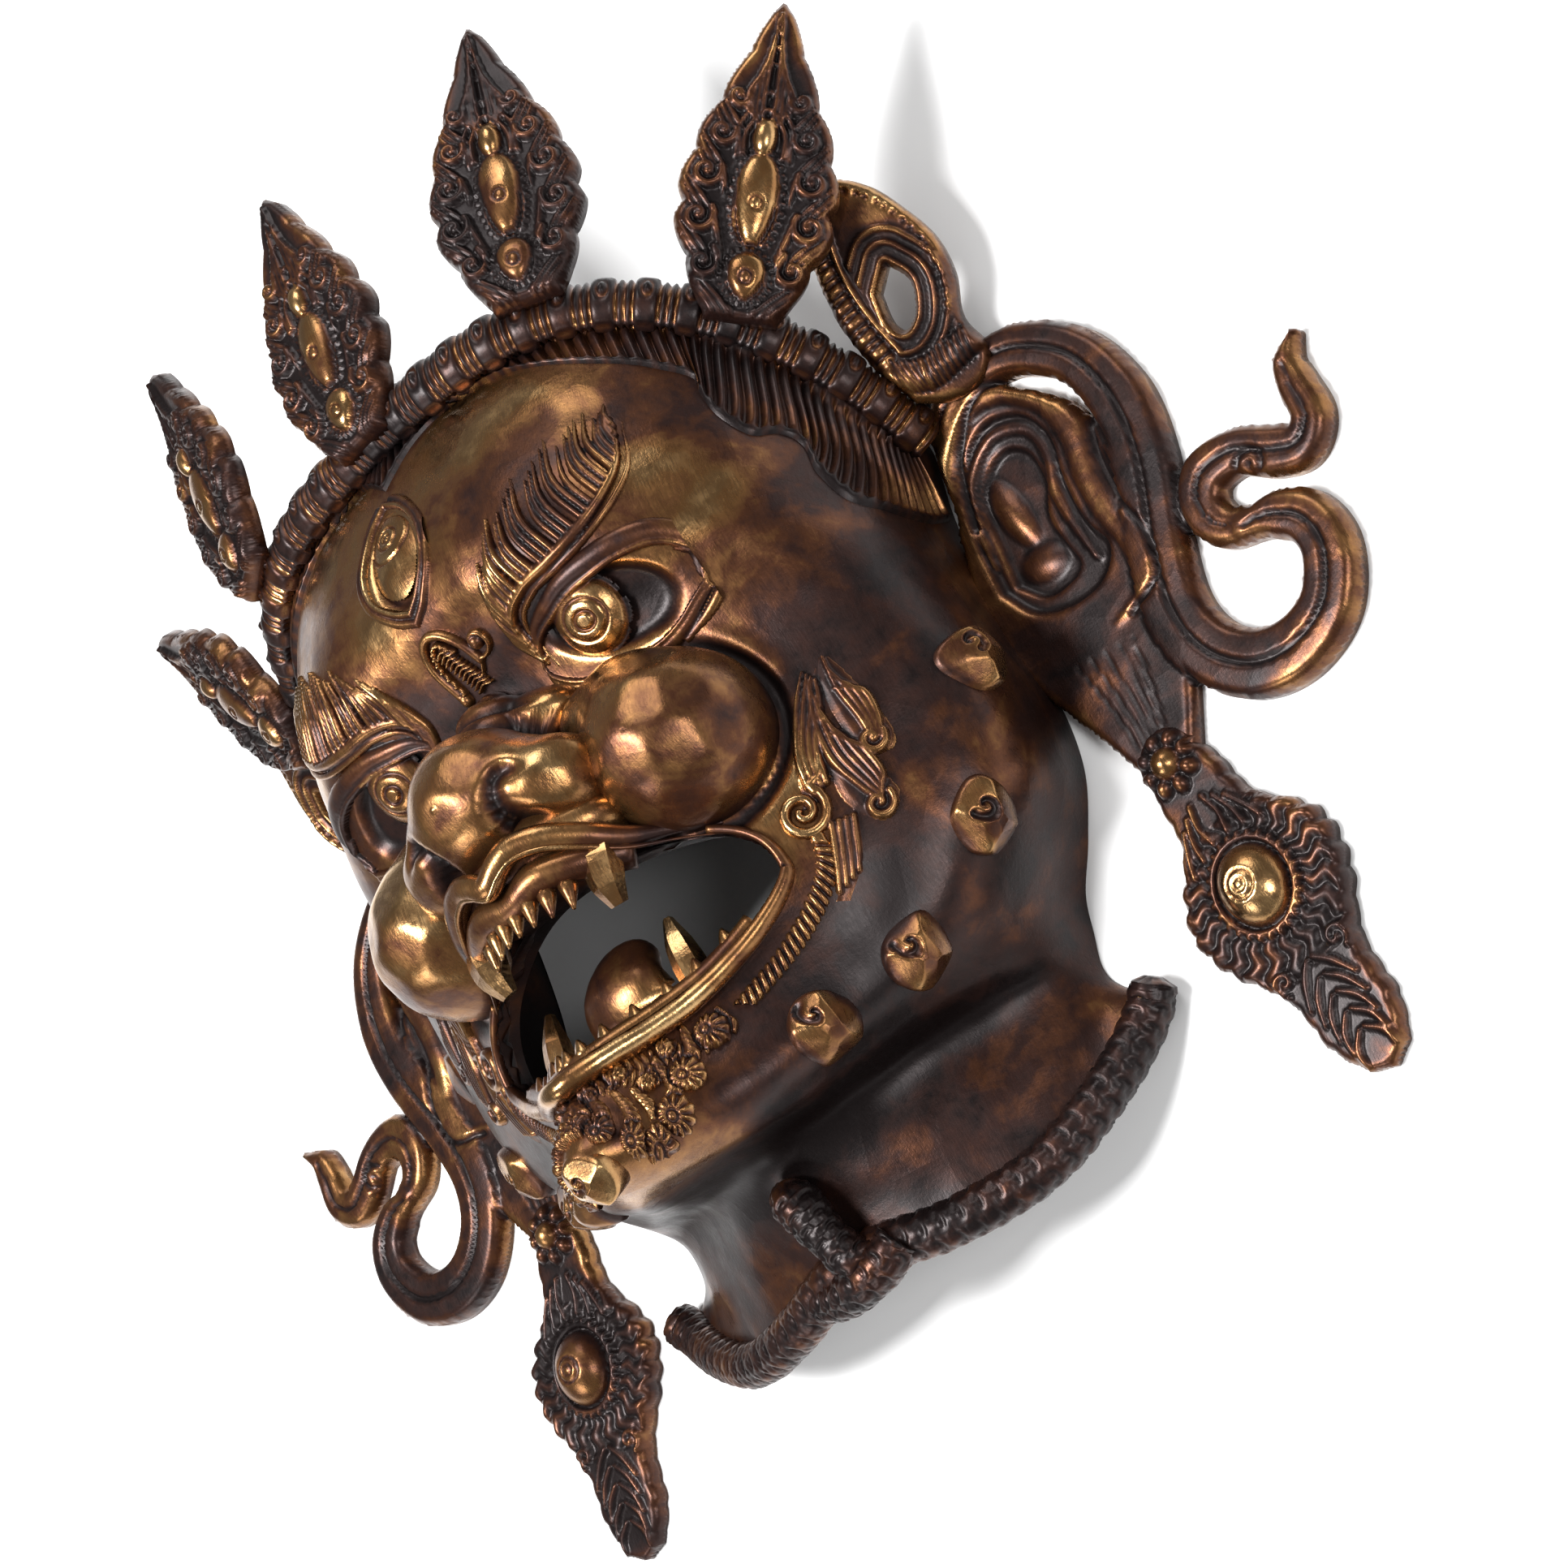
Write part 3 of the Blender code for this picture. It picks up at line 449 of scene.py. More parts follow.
# Cast plates: an outline given as a distance field, a carved front and a flat back, closed all round
def castPlate(x, y, outside, height, back, step):
    rows, columns = x.shape
    faces = gridFaces(rows, columns)
    faces = faces[(outside.ravel()[faces] < 0.72 * step).all(1)]
    edges = np.concatenate([faces[:, [k, (k + 1) % 4]] for k in range(4)])
    key = np.sort(edges, 1)
    _, first, count = np.unique(key[:, 0] * rows * columns + key[:, 1], return_index=True,
        return_counts=True)
    border = edges[first[count == 1]]
    gy, gx = np.gradient(outside, step)
    length = np.maximum(gx * gx + gy * gy, 0.25)
    places = np.stack([x, y, height], -1).reshape(-1, 3)
    rim = np.unique(border)
    shift = np.clip(outside, -step, step) / length
    places[rim, 0] -= (shift * gx).ravel()[rim]
    places[rim, 1] -= (shift * gy).ravel()[rim]
    under = places.copy()
    under[:, 2] = np.broadcast_to(back, x.shape).ravel()
    n = rows * columns
    upright = faces[:, ::-1]
    walls = np.stack([border[:, 0], border[:, 0] + n, border[:, 1] + n, border[:, 1]], 1)
    allFaces = np.concatenate([upright, faces + n, walls[:, ::-1]])
    used, allFaces = np.unique(allFaces, return_inverse=True)
    return np.concatenate([places, under])[used], allFaces.reshape(-1, 4), used % n


def roundedEdge(outside, radius):  # share of the full height near an outline
    t = 1 - np.clip(-outside / radius, 0, 1)
    return np.sqrt(np.maximum(1 - t * t, 0))


print("tools ready")

# Head shell: eye sockets sunk in the skin, brows and temples swelling, hollow inside
shellSettings = dict(wall=3.6, columns=143, crownRows=27, faceRows=172, neckRows=44,
                     innerColumns=48, innerRows=104, dents=0.5, dentSize=19.0)
eyeSettings = dict(u=1.02, v=4.87, rx=20.0, ry=12.5, sink=3.0)
thirdEyeSettings = dict(u=0.0, v=3.3, rx=10.0, ry=16.0, sink=2.5)
mouthSettings = dict(y=-74.0, halfWidth=53.0, rise=23.0, drop=28.0, upperPower=2.5, lowerPower=1.4)
eyePad = padAt(eyeSettings["u"], eyeSettings["v"])
thirdPad = padAt(thirdEyeSettings["u"], thirdEyeSettings["v"])


def skinRise(place):
    rise = np.zeros(place.shape[:-1])
    flip = np.where(place[..., 0] < 0, -1.0, 1.0)[..., None] * (1, 0, 0) + (0, 1, 1)
    away = place * flip - eyePad["place"]
    tilt = 0.12
    a, b = away @ eyePad["right"], away @ eyePad["up"]
    e = np.hypot((a + tilt * b) / eyeSettings["rx"], (b + 0.18 * a) / eyeSettings["ry"])
    rise -= eyeSettings["sink"] * (1 - smoothStep(0.72, 1.0, e))
    away = place - thirdPad["place"]
    e = np.hypot(away @ thirdPad["right"] / thirdEyeSettings["rx"],
        away @ thirdPad["up"] / thirdEyeSettings["ry"])
    rise -= thirdEyeSettings["sink"] * (1 - smoothStep(0.75, 1.0, e))
    ring, share = cheekRing(place)
    rise += share * (0.6 * np.exp(-((ring - 1.22) / 0.10) ** 2)
        - 1.6 * np.exp(-((ring - 1.05) / 0.055) ** 2))
    return rise


# 1 on the outline of a cheek's foot, and how far round to its outer and lower side a place lies
def cheekRing(place):
    a, b = (np.abs(place[..., 0]) - 45) / 21.5, (place[..., 1] + 32) / 24.5
    ring = np.hypot(a, b)
    share = smoothStep(-0.55, 0.25, (0.75 * a - 0.66 * b) / np.maximum(ring, 0.1))
    return ring, share * smoothStep(35, 50, place[..., 2])


def skinTint(place):  # brighter towards the front and darker to the back, darker in a ring round the nose and cheeks, painted shade in each cheek's outer and lower crease, and patches of worn bronze and painted light
    tint = -0.13 + 0.15 * smoothStep(34, 88, place[..., 2])
    x, y = np.abs(place[..., 0]), place[..., 1]
    ring, share = cheekRing(place)
    # painted shade: a dark line in the crease along each cheek's outer and lower foot
    tint -= 0.22 * share * np.exp(-((ring - 1.07) / 0.10) ** 2)
    tint -= 0.22 * np.exp(-((np.hypot(x / 35, (y + 26) / 24) - 1.03) / 0.16) ** 2)
    for bx, by, size, amount in skinWearAndLightPatches:
        tint += amount * np.exp(-((x - bx) ** 2 + (y - by) ** 2) / size ** 2)
    return tint


# Bright and dark patches of the skin, partly worn bronze and partly painted highlight, with painted shade in
# the dark patches under the lower lip: x, y, size, amount
skinWearAndLightPatches = [(34, 66, 22, 0.17), (8, 50, 14, 0.06), (66, 34, 17, 0.18), (82, 10, 15, 0.14),
    (88, -28, 9, 0.08), (14, 78, 16, 0.10), (62, -130, 18, 0.16), (24, -140, 14, 0.14), (50, 40, 12, -0.08),
    (30, 30, 12, -0.06), (78, -20, 12, -0.08), (72, -54, 13, 0.12), (34, -112, 12, 0.09),
    (10, -126, 12, 0.03), (60, -98, 14, -0.10), (46, 12, 20, -0.10), (92, -50, 14, -0.06),
    (44, -106, 14, -0.14), (26, -116, 26, -0.10), (68, -84, 14, -0.10), (22, -124, 12, -0.12),
    (20, -78, 20, -0.06), (0, 12, 18, -0.12)]


def dents(place):  # shallow hammered facets
    size = shellSettings["dentSize"]
    return shellSettings["dents"] * (valueNoise(place, size, 3) + 0.5 * valueNoise(place, size * 0.5, 4))


def mouthRadius(x, y):  # 1 on the mouth's outline, less inside
    up = y > mouthSettings["y"]
    height = np.where(up, mouthSettings["rise"], mouthSettings["drop"])
    power = np.where(up, mouthSettings["upperPower"], mouthSettings["lowerPower"])
    a, b = np.abs(x) / mouthSettings["halfWidth"], np.abs(y - mouthSettings["y"]) / height
    return (a ** power + b ** power) ** (1 / power)


def mouthPoint(turn, grow=0.0):
    c, s = np.cos(turn), np.sin(turn)
    up = s > 0
    height = np.where(up, mouthSettings["rise"], mouthSettings["drop"]) + grow
    power = np.where(up, mouthSettings["upperPower"], mouthSettings["lowerPower"])
    x = np.sign(c) * np.abs(c) ** (2 / power) * (mouthSettings["halfWidth"] + grow)
    return x, mouthSettings["y"] + np.sign(s) * np.abs(s) ** (2 / power) * height


def shellGrid(columnCount, rowPlaces, depth, smoothLumps):
    half = np.linspace(0, 1, columnCount)
    half = 4 * (0.8 * half + 0.2 * half ** 2)
    columns = np.concatenate([-half[:0:-1], half])
    u, v = np.meshgrid(columns, rowPlaces)
    place, normal, _, _ = headAt(u, v)
    rise = skinRise(place) - depth
    if smoothLumps:
        rise = rise + dents(place) * smoothStep(0, 12, place[..., 2])
    return place + normal * rise[..., None]


def openMouth(places, faces):
    flat = places.reshape(-1, 3)
    reach = mouthRadius(flat[:, 0], flat[:, 1])
    reach = np.where(flat[:, 2] > 20, reach, 9)
    inside = (reach[faces] < 1.0).all(1)
    kept = faces[~inside]
    snap = np.zeros(len(flat), bool)
    snap[np.unique(kept)] = True
    snap &= reach < 1.0
    centreY = mouthSettings["y"]
    for _ in range(3):
        scale = 1 / np.maximum(mouthRadius(flat[snap, 0], flat[snap, 1]), 0.2)
        flat[snap, 0] *= scale
        flat[snap, 1] = centreY + (flat[snap, 1] - centreY) * scale
    return flat, kept


rowPlaces = np.concatenate([np.linspace(0, 2.2, shellSettings["crownRows"], endpoint=False),
                            np.linspace(2.2, 9.6, shellSettings["faceRows"], endpoint=False),
                            np.linspace(9.6, 13, shellSettings["neckRows"])])
outer = shellGrid(shellSettings["columns"], rowPlaces, 0.0, True)
outer[..., 2] = np.maximum(outer[..., 2], 0.0)
flat, kept = openMouth(outer, gridFaces(*outer.shape[:2]))
shell = addPiece("headShell", flat, kept, tint=skinTint(flat))
inner = shellGrid(shellSettings["innerColumns"], np.linspace(0.12, 12.9, shellSettings["innerRows"]),
                  shellSettings["wall"], False)
inner[..., 2] = np.maximum(inner[..., 2], 0.0)
flat, kept = openMouth(inner, gridFaces(*inner.shape[:2])[:, ::-1])
addPiece("headInside", flat, kept, tint=-0.28)
edge = np.concatenate([outer[:0:-1, 0], outer[0], outer[1:, -1]]) * (1, 1, 0)
away = unit(np.gradient(edge, axis=0))
innerEdge = edge + np.stack([away[:, 1], -away[:, 0], 0 * away[:, 0]], 1) * shellSettings["wall"] * 1.1
addPiece("headRim", np.concatenate([edge, innerEdge]), gridFaces(2, len(edge))[:, ::-1], tint=-0.2)
print("head shell")


def insidePath(x, y, path):
    result = np.zeros(x.shape, bool)
    for (ax, ay), (bx, by) in zip(path, np.roll(path, -1, 0)):
        crosses = ((ay > y) != (by > y)) & (x < (bx - ax) * (y - ay) / (by - ay + 1e-12) + ax)
        result ^= crosses
    return result


# Nose, its wings and nostrils, cheeks and muzzle
noseSettings = dict(lumps=[((0, -22, 105), (18.5, 18.5, 21)), ((9, -26, 103), (17, 14.5, 18.5)),
        ((18.5, -29, 101.5), (16, 12.0, 15.5)), ((0, -6, 90.0), (12.0, 17, 13.5)),
        ((11, -4, 86), (14, 8, 11))], wrinkles=[(-3.6, -1.2, 1.1), (-1.0, 0.4, 1.8), (2.4, -1.3, 1.1),
        (5.0, 0.4, 1.8), (8.6, -1.1, 1.0)], facetCut=0.9)
nostrilSettings = dict(path=[(21.5, -27, 115), (18.0, -25.5, 118.0), (14.5, -28.0, 119), (12.5, -33.0, 117),
        (15, -38, 111)], widths=[2.0, 2.4, 2.8, 3.8, 4.4], depth=6.5)
cheekSettings = dict(lumps=[((45, -32, 81), (23.5, 23, 26)), ((33, -15, 80), (20, 13, 16.5)),
        ((42, -27, 81), (19.5, 20, 22))], facetCut=1.0)
muzzleSettings = dict(lumps=[((0, -41, 96), (31, 12, 18))])
facetAims = [(0.0, 0.4, 0.9), (-0.5, 0.05, 0.85), (0.45, 0.2, 0.87), (0.0, -0.35, 0.93), (0.55, -0.45, 0.7),
    (-0.4, -0.6, 0.7), (0.8, 0.1, 0.6), (-0.1, 0.85, 0.5), (0.1, -0.9, 0.4), (0.45, 0.75, 0.5),
    (-0.8, -0.2, 0.55), (0.85, -0.35, 0.35)]


def planish(places, cut):  # flat hammered facets, their edges left soft
    for aim in unit(np.array(facetAims)):
        stand = places @ aim
        over = stand - (stand.max() - cut)
        places = places - aim * (0.5 * (over + np.sqrt(over * over + 0.25)) * 0.8 * (over > -3))[..., None]
    return places


def capTint(places, rings, spokes, base):
    gap = places[:, 2] - frontHeight(places[:, 0], places[:, 1])
    ring = np.append(np.repeat(np.arange(rings) / (rings - 1), spokes), 0)
    return base - 0.3 * np.maximum(np.exp(-np.maximum(gap, 0) / 3.0), smoothStep(0.78, 0.97, ring))


def carveNose(places, d):
    places = planish(places, noseSettings["facetCut"])
    y = places[..., 1] + 0.012 * places[..., 0] ** 2
    for middle, rise, width in noseSettings["wrinkles"]:
        fade = smoothStep(22, 12, np.abs(places[..., 0]))
        places = places + d * (rise * np.exp(-((y - middle) / width) ** 2) * fade)[..., None]
    for side in (1, -1):
        path = through(np.array(nostrilSettings["path"], float) * (side, 1, 1), 13)
        cut = np.zeros(places.shape[:-1])
        for spot, width in zip(path, np.interp(np.linspace(0, 4, 13), range(5), nostrilSettings["widths"])):
            gap = np.linalg.norm(places - spot, axis=-1) / width
            cut = np.maximum(cut, np.exp(-gap ** 2.6) * min(1, width / 4.2))
        places = places - d * (nostrilSettings["depth"] * cut)[..., None]
    return places


def patches(places, spots):
    return sum(amount * np.exp(-(((places - np.array(spot)) / size) ** 2).sum(1))
               for spot, size, amount in spots)


noseGrid, cheekGrid = (100, 200), (80, 164)  # rings and spokes
nosePatches = [((4, -14, 124), 9, 0.16), ((-12, -26, 120), 9, 0.12), ((24, -22, 112), 9, 0.10),
    ((0, -34, 124), 10, 0.06), ((0, 2, 102), 9, -0.08), ((12, 4, 96), 8, -0.12), ((-12, 4, 96), 8, -0.12)]
# painted highlight on the cheek's upper and inner part, painted shade on its outer and lower rim: centre,
# size, amount
cheekPaintedLightPatches = [((46, -16, 104), 10, 0.20), ((32, -34, 104), 10, 0.22), ((58, -34, 98), 9, 0.10),
    ((42, -4, 100), 11, 0.14), ((64, -42, 88), 12, -0.16), ((40, -56, 92), 13, -0.18),
    ((62, -16, 90), 8, -0.08)]
lumps = noseSettings["lumps"] + [(np.array(c) * (-1, 1, 1), r) for c, r in noseSettings["lumps"] if c[0]]
places, faces = growCap((0, -22, 92), (0, -0.1, 1), lumps, *noseGrid, 2.4, carve=carveNose)
nostrilGaps = [np.linalg.norm(places - (14 * side, -33, 112), axis=1) for side in (1, -1)]
nostrilDark = sum(np.exp(-(gap / 7) ** 2) for gap in nostrilGaps)
addPiece("nose", places, faces, tint=capTint(places, *noseGrid, -0.02) - 0.4 * nostrilDark
    + patches(places, nosePatches))


def carveCheek(places, d):
    return planish(places, cheekSettings["facetCut"]) + d * 0.8 * dents(places)[..., None]


places, faces = growCap((41, -30, 80), (0.3, -0.1, 1), cheekSettings["lumps"], *cheekGrid, 3.0,
    carve=carveCheek)
# the cheek's colour, with painted highlight and painted shade from its patch list
shade = capTint(places, *cheekGrid, 0.11) + patches(places, cheekPaintedLightPatches)
addBoth("cheek", places, faces, shade)
places, faces = growCap((0, -40, 92), (0, -0.2, 1), muzzleSettings["lumps"], 50, 140, 1.0)
addPiece("muzzle", places, faces, tint=-0.10)
print("nose and cheeks")

# Eyes: lids round an almond, ball with rings and a dot
upperLid = [(0.46, 5.02), (0.56, 4.8), (0.75, 4.67), (0.92, 4.56), (1.15, 4.46), (1.3, 4.4), (1.48, 4.37),
    (1.6, 4.46), (1.64, 4.64), (1.58, 4.93)]
lowerLid = [(0.46, 5.02), (0.49, 5.14), (0.62, 5.29), (0.8, 5.36), (1.0, 5.36), (1.18, 5.33), (1.33, 5.23),
    (1.46, 5.08), (1.58, 4.93)]
pupil = (0.9, 4.86)


def drawEye(a, b):
    upper, lower = curve(flatSpots(eyePad, upperLid)), curve(flatSpots(eyePad, lowerLid))
    centre = flatSpots(eyePad, [pupil])[0]
    e = np.hypot((a + 0.12 * b) / eyeSettings["rx"], (b + 0.18 * a) / eyeSettings["ry"])
    height = 0.1 - 1.2 * smoothStep(1.08, 1.2, e)
    opening = np.concatenate([upper, lower[::-1]])
    within = insidePath(a, b, opening)
    d = np.hypot(a - centre[0], b - centre[1])
    ball = 4.2 - (14.5 - np.sqrt(np.maximum(14.5 ** 2 - d * d, 0)))
    for radius, width, depth in ((10.2, 0.6, 0.9), (6.0, 0.55, 0.8), (2.7, 0.75, 1.0)):
        ball -= depth * np.maximum(1 - ((d - radius) / width) ** 2, 0)
    height = np.where(within, np.maximum(ball, -2.6 - 0.08 * np.maximum(a, 0)), height)
    ridge(height, a, b, upper + (0.6, 2.6), [0.8, 2.6, 3.2, 3.4, 2.8, 1.6], [0.6, 2.2, 2.6, 2.4, 1.6, 0.8])
    ridge(height, a, b, upper, [0.7, 1.1, 1.2, 1.2, 1.1, 0.9], [1.0, 2.4, 2.8, 2.4, 1.6, 1.2])
    ridge(height, a, b, lower - (0, 1.5), [0.8, 1.8, 2.4, 2.4, 2.2, 1.8, 1.2],
        [0.6, 1.6, 2.0, 2.0, 1.6, 1.2])
    ridge(height, a, b, lower, [0.6, 0.9, 1.0, 1.0, 1.0, 1.0], [0.8, 2.0, 2.3, 2.3, 1.8, 1.4])
    loop = curve(flatSpots(eyePad, [(1.56, 4.5), (1.68, 4.62), (1.7, 4.85), (1.62, 5.05), (1.48, 5.24),
            (1.3, 5.4)]))
    ridge(height, a, b, loop, [0.7, 1.5, 1.7, 1.6, 1.0], [0.8, 1.6, 1.8, 1.4, 0.8])
    shade = np.where(within & (d > 10.6), -0.25, -0.10) + np.where(within & (d < 10.4), 0.24, 0.0)
    return height, shade


addPad("eye", eyePad, (-27, -20), (27, 20), 0.45, drawEye, onSkin=False)


def drawThirdEye(a, b):
    rim = curve(flatSpots(thirdPad, [(0, 2.66), (0.16, 2.82), (0.27, 3.15), (0.24, 3.5), (0.12, 3.78),
            (0, 3.92)]))
    rim = np.concatenate([rim, (rim * (-1, 1))[::-1][1:-1]])
    closedRim = np.concatenate([rim, rim[:1]])
    e = np.hypot(a / thirdEyeSettings["rx"], b / thirdEyeSettings["ry"])
    height = 0.1 - 1.0 * smoothStep(1.2, 1.35, e)
    within = insidePath(a, b, rim)
    centre = flatSpots(thirdPad, [(0, 3.03)])[0]
    d = np.hypot(a - centre[0], b - centre[1])
    ball = 1.6 - 0.018 * a * a * 1.6 - 0.01 * (b - centre[1] + 3) ** 2
    for radius, width, depth in ((7.4, 0.5, 0.8), (3.4, 0.5, 0.8), (1.3, 0.5, 0.6)):
        ball -= depth * np.maximum(1 - ((d - radius) / width) ** 2, 0)
    height = np.where(within, np.maximum(ball, -2.0), height)
    ridge(height, a, b, closedRim * 1.14 - (0, 0.3), 1.1, 1.3)
    ridge(height, a, b, closedRim, 1.0, 1.5)
    return height, np.where(within, 0.17, -0.10)


addPad("thirdEye", thirdPad, (-14.5, -21), (14.5, 21), 0.4, drawThirdEye, onSkin=False, sides=(1,))
print("eyes")

# Brows: a smooth spine with overlapping pointed tufts of fine ridges above it
browPad = padAt(1.05, 3.8)
browSettings = dict(tufts=6, hairs=5, hairWidth=1.25, hairRise=2.6)


def drawBrow(a, b):
    height = np.full(a.shape, -2.0)
    spine = curve(flatSpots(browPad, [(0.5, 5.0), (0.5, 4.55), (0.68, 4.34), (0.93, 4.22), (1.18, 4.04),
            (1.42, 3.76), (1.62, 3.42), (1.72, 3.0)]), 10)
    crest = curve(flatSpots(browPad, [(0.42, 4.5), (0.46, 4.12), (0.6, 3.85), (0.76, 3.55), (1.0, 3.3),
            (1.24, 3.08), (1.48, 2.92), (1.72, 2.86)]), 10)
    count = browSettings["tufts"] * browSettings["hairs"]
    for k in range(count):
        share = (k + 0.5) / count
        tuft = share * browSettings["tufts"] % 1.0
        foot = spine[int(share * (len(spine) - 1))]
        tip = foot + (crest[int(min(1, share + 0.1) * (len(crest) - 1))] - foot) * (0.80 + 0.22 * tuft)
        bend = (foot + tip) / 2 + np.array([-(tip - foot)[1], (tip - foot)[0]]) * 0.12
        rise = browSettings["hairRise"] * (0.75 + 0.25 * tuft)
        widths = [browSettings["hairWidth"], browSettings["hairWidth"], 0.5]
        ridge(height, a, b, curve([foot, bend, tip], 5), widths, [rise, rise, 1.6], -0.3, flat=0.8)
    ridge(height, a, b, spine, [0.8, 1.5, 1.7, 1.6, 1.2, 0.5], [1.4, 2.4, 2.7, 2.4, 1.5], -0.2)
    ridge(height, a, b, spine + (1.9, -2.4), [0.5, 1.1, 1.2, 0.9, 0.4], [0.8, 1.7, 1.7, 0.8], -0.3)
    return height, 0.0


addPad("brow", browPad, (-32, -34), (36, 38), 0.42, drawBrow)

# Ribbed curl between the brows with bead scrolls
curlPad = padAt(0.0, 4.45)


def drawCurl(a, b):
    height = np.full(a.shape, -2.0)
    arch = curve([(-5.2, -9), (-5.6, 0), (-3.6, 6), (0, 8), (3.8, 6), (6.6, 1), (7.6, -5)])
    ridge(height, a, b, arch, 1.5, 2.4, -0.2)
    bead = curve([(-3.4, -9), (-3.4, -1), (-1.6, 4), (1.2, 5), (3.6, 1)])
    ridge(height, a, b, bead, 0.9, 2.2, -0.2)
    for k in range(12):
        x, y = bead[int(k / 12 * (len(bead) - 1))]
        dome(height, a, b, x, y, 0.75, 0.75, 2.9)
    for k in range(11):
        y = 2.6 - k * 1.35
        ridge(height, a, b, curve([(-1.6 + 0.2 * k, y - 0.6), (0.4 + 0.25 * k, y + 0.5),
                (2.4 + 0.3 * k, y - 0.3)], 3), 0.55, 2.6, -0.1)
    dome(height, a, b, -4.6, -10.5, 1.9, 2.6, 2.8)
    dome(height, a, b, 10.5, -1, 2.2, 2.4, 2.6)
    scroll = spiral(10.4, -0.8, 4.6, 0.9, -2.0, 1, tail=[(5.5, -8)])
    ridge(height, a, b, scroll, [0.6, 1.0, 0.9, 0.6], 2.2, -0.3)
    return height


addPad("browCurl", curlPad, (-9, -16), (17, 12), 0.35, drawCurl, sides=(1,), tint=0.02)

# Mouth: raised upper lip over a gum with teeth, bright lower lip, fangs and tongue
lipSettings = dict(upper=[(0, -47.5, 118), (5, -44.5, 117.5), (10, -42.5, 116), (17, -43.5, 112),
        (24, -47, 105), (30, -50.5, 97), (38, -52.5, 87), (46, -55.5, 79)],
    gum=[(0, -52.5, 111), (9, -50.5, 110.5), (17, -51, 106), (23, -52, 100), (28, -53, 94)], upperWidth=3.6,
    upperHeight=3.4, gumWidth=4.6, gumHeight=5.0, lowerWidth=[1.2, 1.2, 2.0, 2.8, 3.0, 2.8, 2.0, 1.2, 1.2])


def bothSides(points):
    points = np.array(points, float)
    return np.concatenate([(points * (-1, 1, 1))[:0:-1], points])


path = through(bothSides(lipSettings["upper"]), 121)
taper = roundEnds(121, 0.1, 0.3) * (0.35 + 0.65 * smoothStep(40, 24, np.abs(path[:, 0])))
lipTint = np.append(np.repeat(-0.12 - 0.06 * smoothStep(22, 34, np.abs(path[:, 0])), 14), [0, 0])
places, faces = bar(path, (0, -0.35, 1), lipSettings["upperWidth"] * taper,
    lipSettings["upperHeight"] * taper, 14)
addPiece("upperLip", places, faces, tint=lipTint)
edge = bar(path + (0, -3.0, 1.0), (0, -0.35, 1), 0.9 * taper, 1.3 * taper, 14)
addPiece("upperLipEdge", *edge, tint=lipTint + 0.14)
path = through(bothSides(lipSettings["gum"]), 71)
places, faces = bar(path, (0, -0.3, 1), lipSettings["gumWidth"],
    lipSettings["gumHeight"] * roundEnds(71, 0.05, 0.4), 14)
addPiece("upperGum", places, faces, tint=-0.12)


def lipLoop(start, end, count, grow, lift):
    turn = np.linspace(start, end, count)
    x, y = mouthPoint(turn, grow)
    return np.stack([x, y, frontHeight(x, y) + np.broadcast_to(lift, count)], 1)


bow = np.sin(np.linspace(0, math.pi, 161)) ** 2
path = lipLoop(0.24 * math.pi, -1.24 * math.pi, 161, 1.6, 0.6 + 3.2 * bow)
places, faces = bar(path, (0, 0.15, 1), spread(lipSettings["lowerWidth"], np.linspace(0, 1, 161)),
    1.7 + 1.7 * bow, 20, pinch=0.9)
gold = -0.14 + 0.24 * smoothStep(0.25, 0.8, bow)
addPiece("lowerLip", places, faces, tint=np.concatenate([np.repeat(gold, 20), [0, 0]]))
turn = np.linspace(0, 2 * math.pi, 181)
x, y = mouthPoint(turn, 0.3)
z = frontHeight(x, y)
strip = np.stack([np.stack([x, y, z + 0.4], 1), np.stack([x, y, z - 7.5], 1)])
addPiece("mouthWall", strip.reshape(-1, 3), gridFaces(2, 181), tint=-0.2)
lowGum = lipLoop(-0.16 * math.pi, -0.84 * math.pi, 61, -3.0, -3.5)
places, faces = bar(lowGum, front, 3.6, 5.5, 12)
addPiece("lowerGum", places, faces, tint=-0.15)

parts = []
for k in range(-3, 4):
    x = k * 5.0
    root = np.array([x, -53.5 - 0.004 * x * x, 112 - 0.022 * x * x])
    tip = root + (0, -8.0, 1.5)
    parts.append(bar(np.linspace(root, tip, 7), (1, 0, 0.2), np.array([2.6, 2.7, 2.5, 2.0, 1.5, 1.0, 0.5]),
            np.array([2.4, 2.5, 2.3, 1.9, 1.4, 1.0, 0.5]), 7))
for k in range(-6, 7):
    spot = lowGum[int(30 + k * 4.2)]
    parts.append(bar(np.linspace(spot + (0, 1.0, 3), spot + (0, 5.6, 3.6), 6), (1, 0, 0),
            np.array([2.1, 2.2, 1.9, 1.5, 1.0, 0.4]), np.array([2.1, 2.2, 1.9, 1.5, 1.0, 0.4]), 7))
addPiece("teeth", *joinParts(parts), tint=0.02)
parts = []
for side in (1, -1):
    for path, width in (([(23, -46.5, 99), (23.2, -53, 101.5), (22.6, -59, 102), (21.8, -65, 100)],
            [4.6, 5.4, 4.8, 2.4]), ([(25, -90, 87), (24.8, -83, 88), (24.2, -77, 88), (23.4, -70, 87.2)],
            [4.4, 4.4, 3.6, 1.4])):
        path = through(np.array(path, float) * (side, 1, 1), 12)
        size = spread(width, np.linspace(0, 1, 12))
        parts.append(bar(path, (0, 0, 1), size, size, 6))
addPiece("fangs", *joinParts(parts), tint=0.12, smooth=False)
path = through([(0, -97, 70), (0, -88, 80), (0, -78, 85), (0, -70, 80), (0, -67, 74)], 30)
places, faces = bar(path, (0, 1, 0.6), spread([15, 15, 13.5, 11, 5], np.linspace(0, 1, 30)),
    spread([8, 8, 7.5, 6.5, 4], np.linspace(0, 1, 30)), 24)
addPiece("tongue", places, faces, tint=-0.12)
print("mouth")

# Diadem band: pillows with a dot in a ring, between groups of fine ridges
bandSettings = dict(side=104.0, endY=30.0, rise=65.0, endZ=8.0, forward=81.0, halfWidth=6.8, halfHeight=5.4,
    lift=1.6, pillows=31)


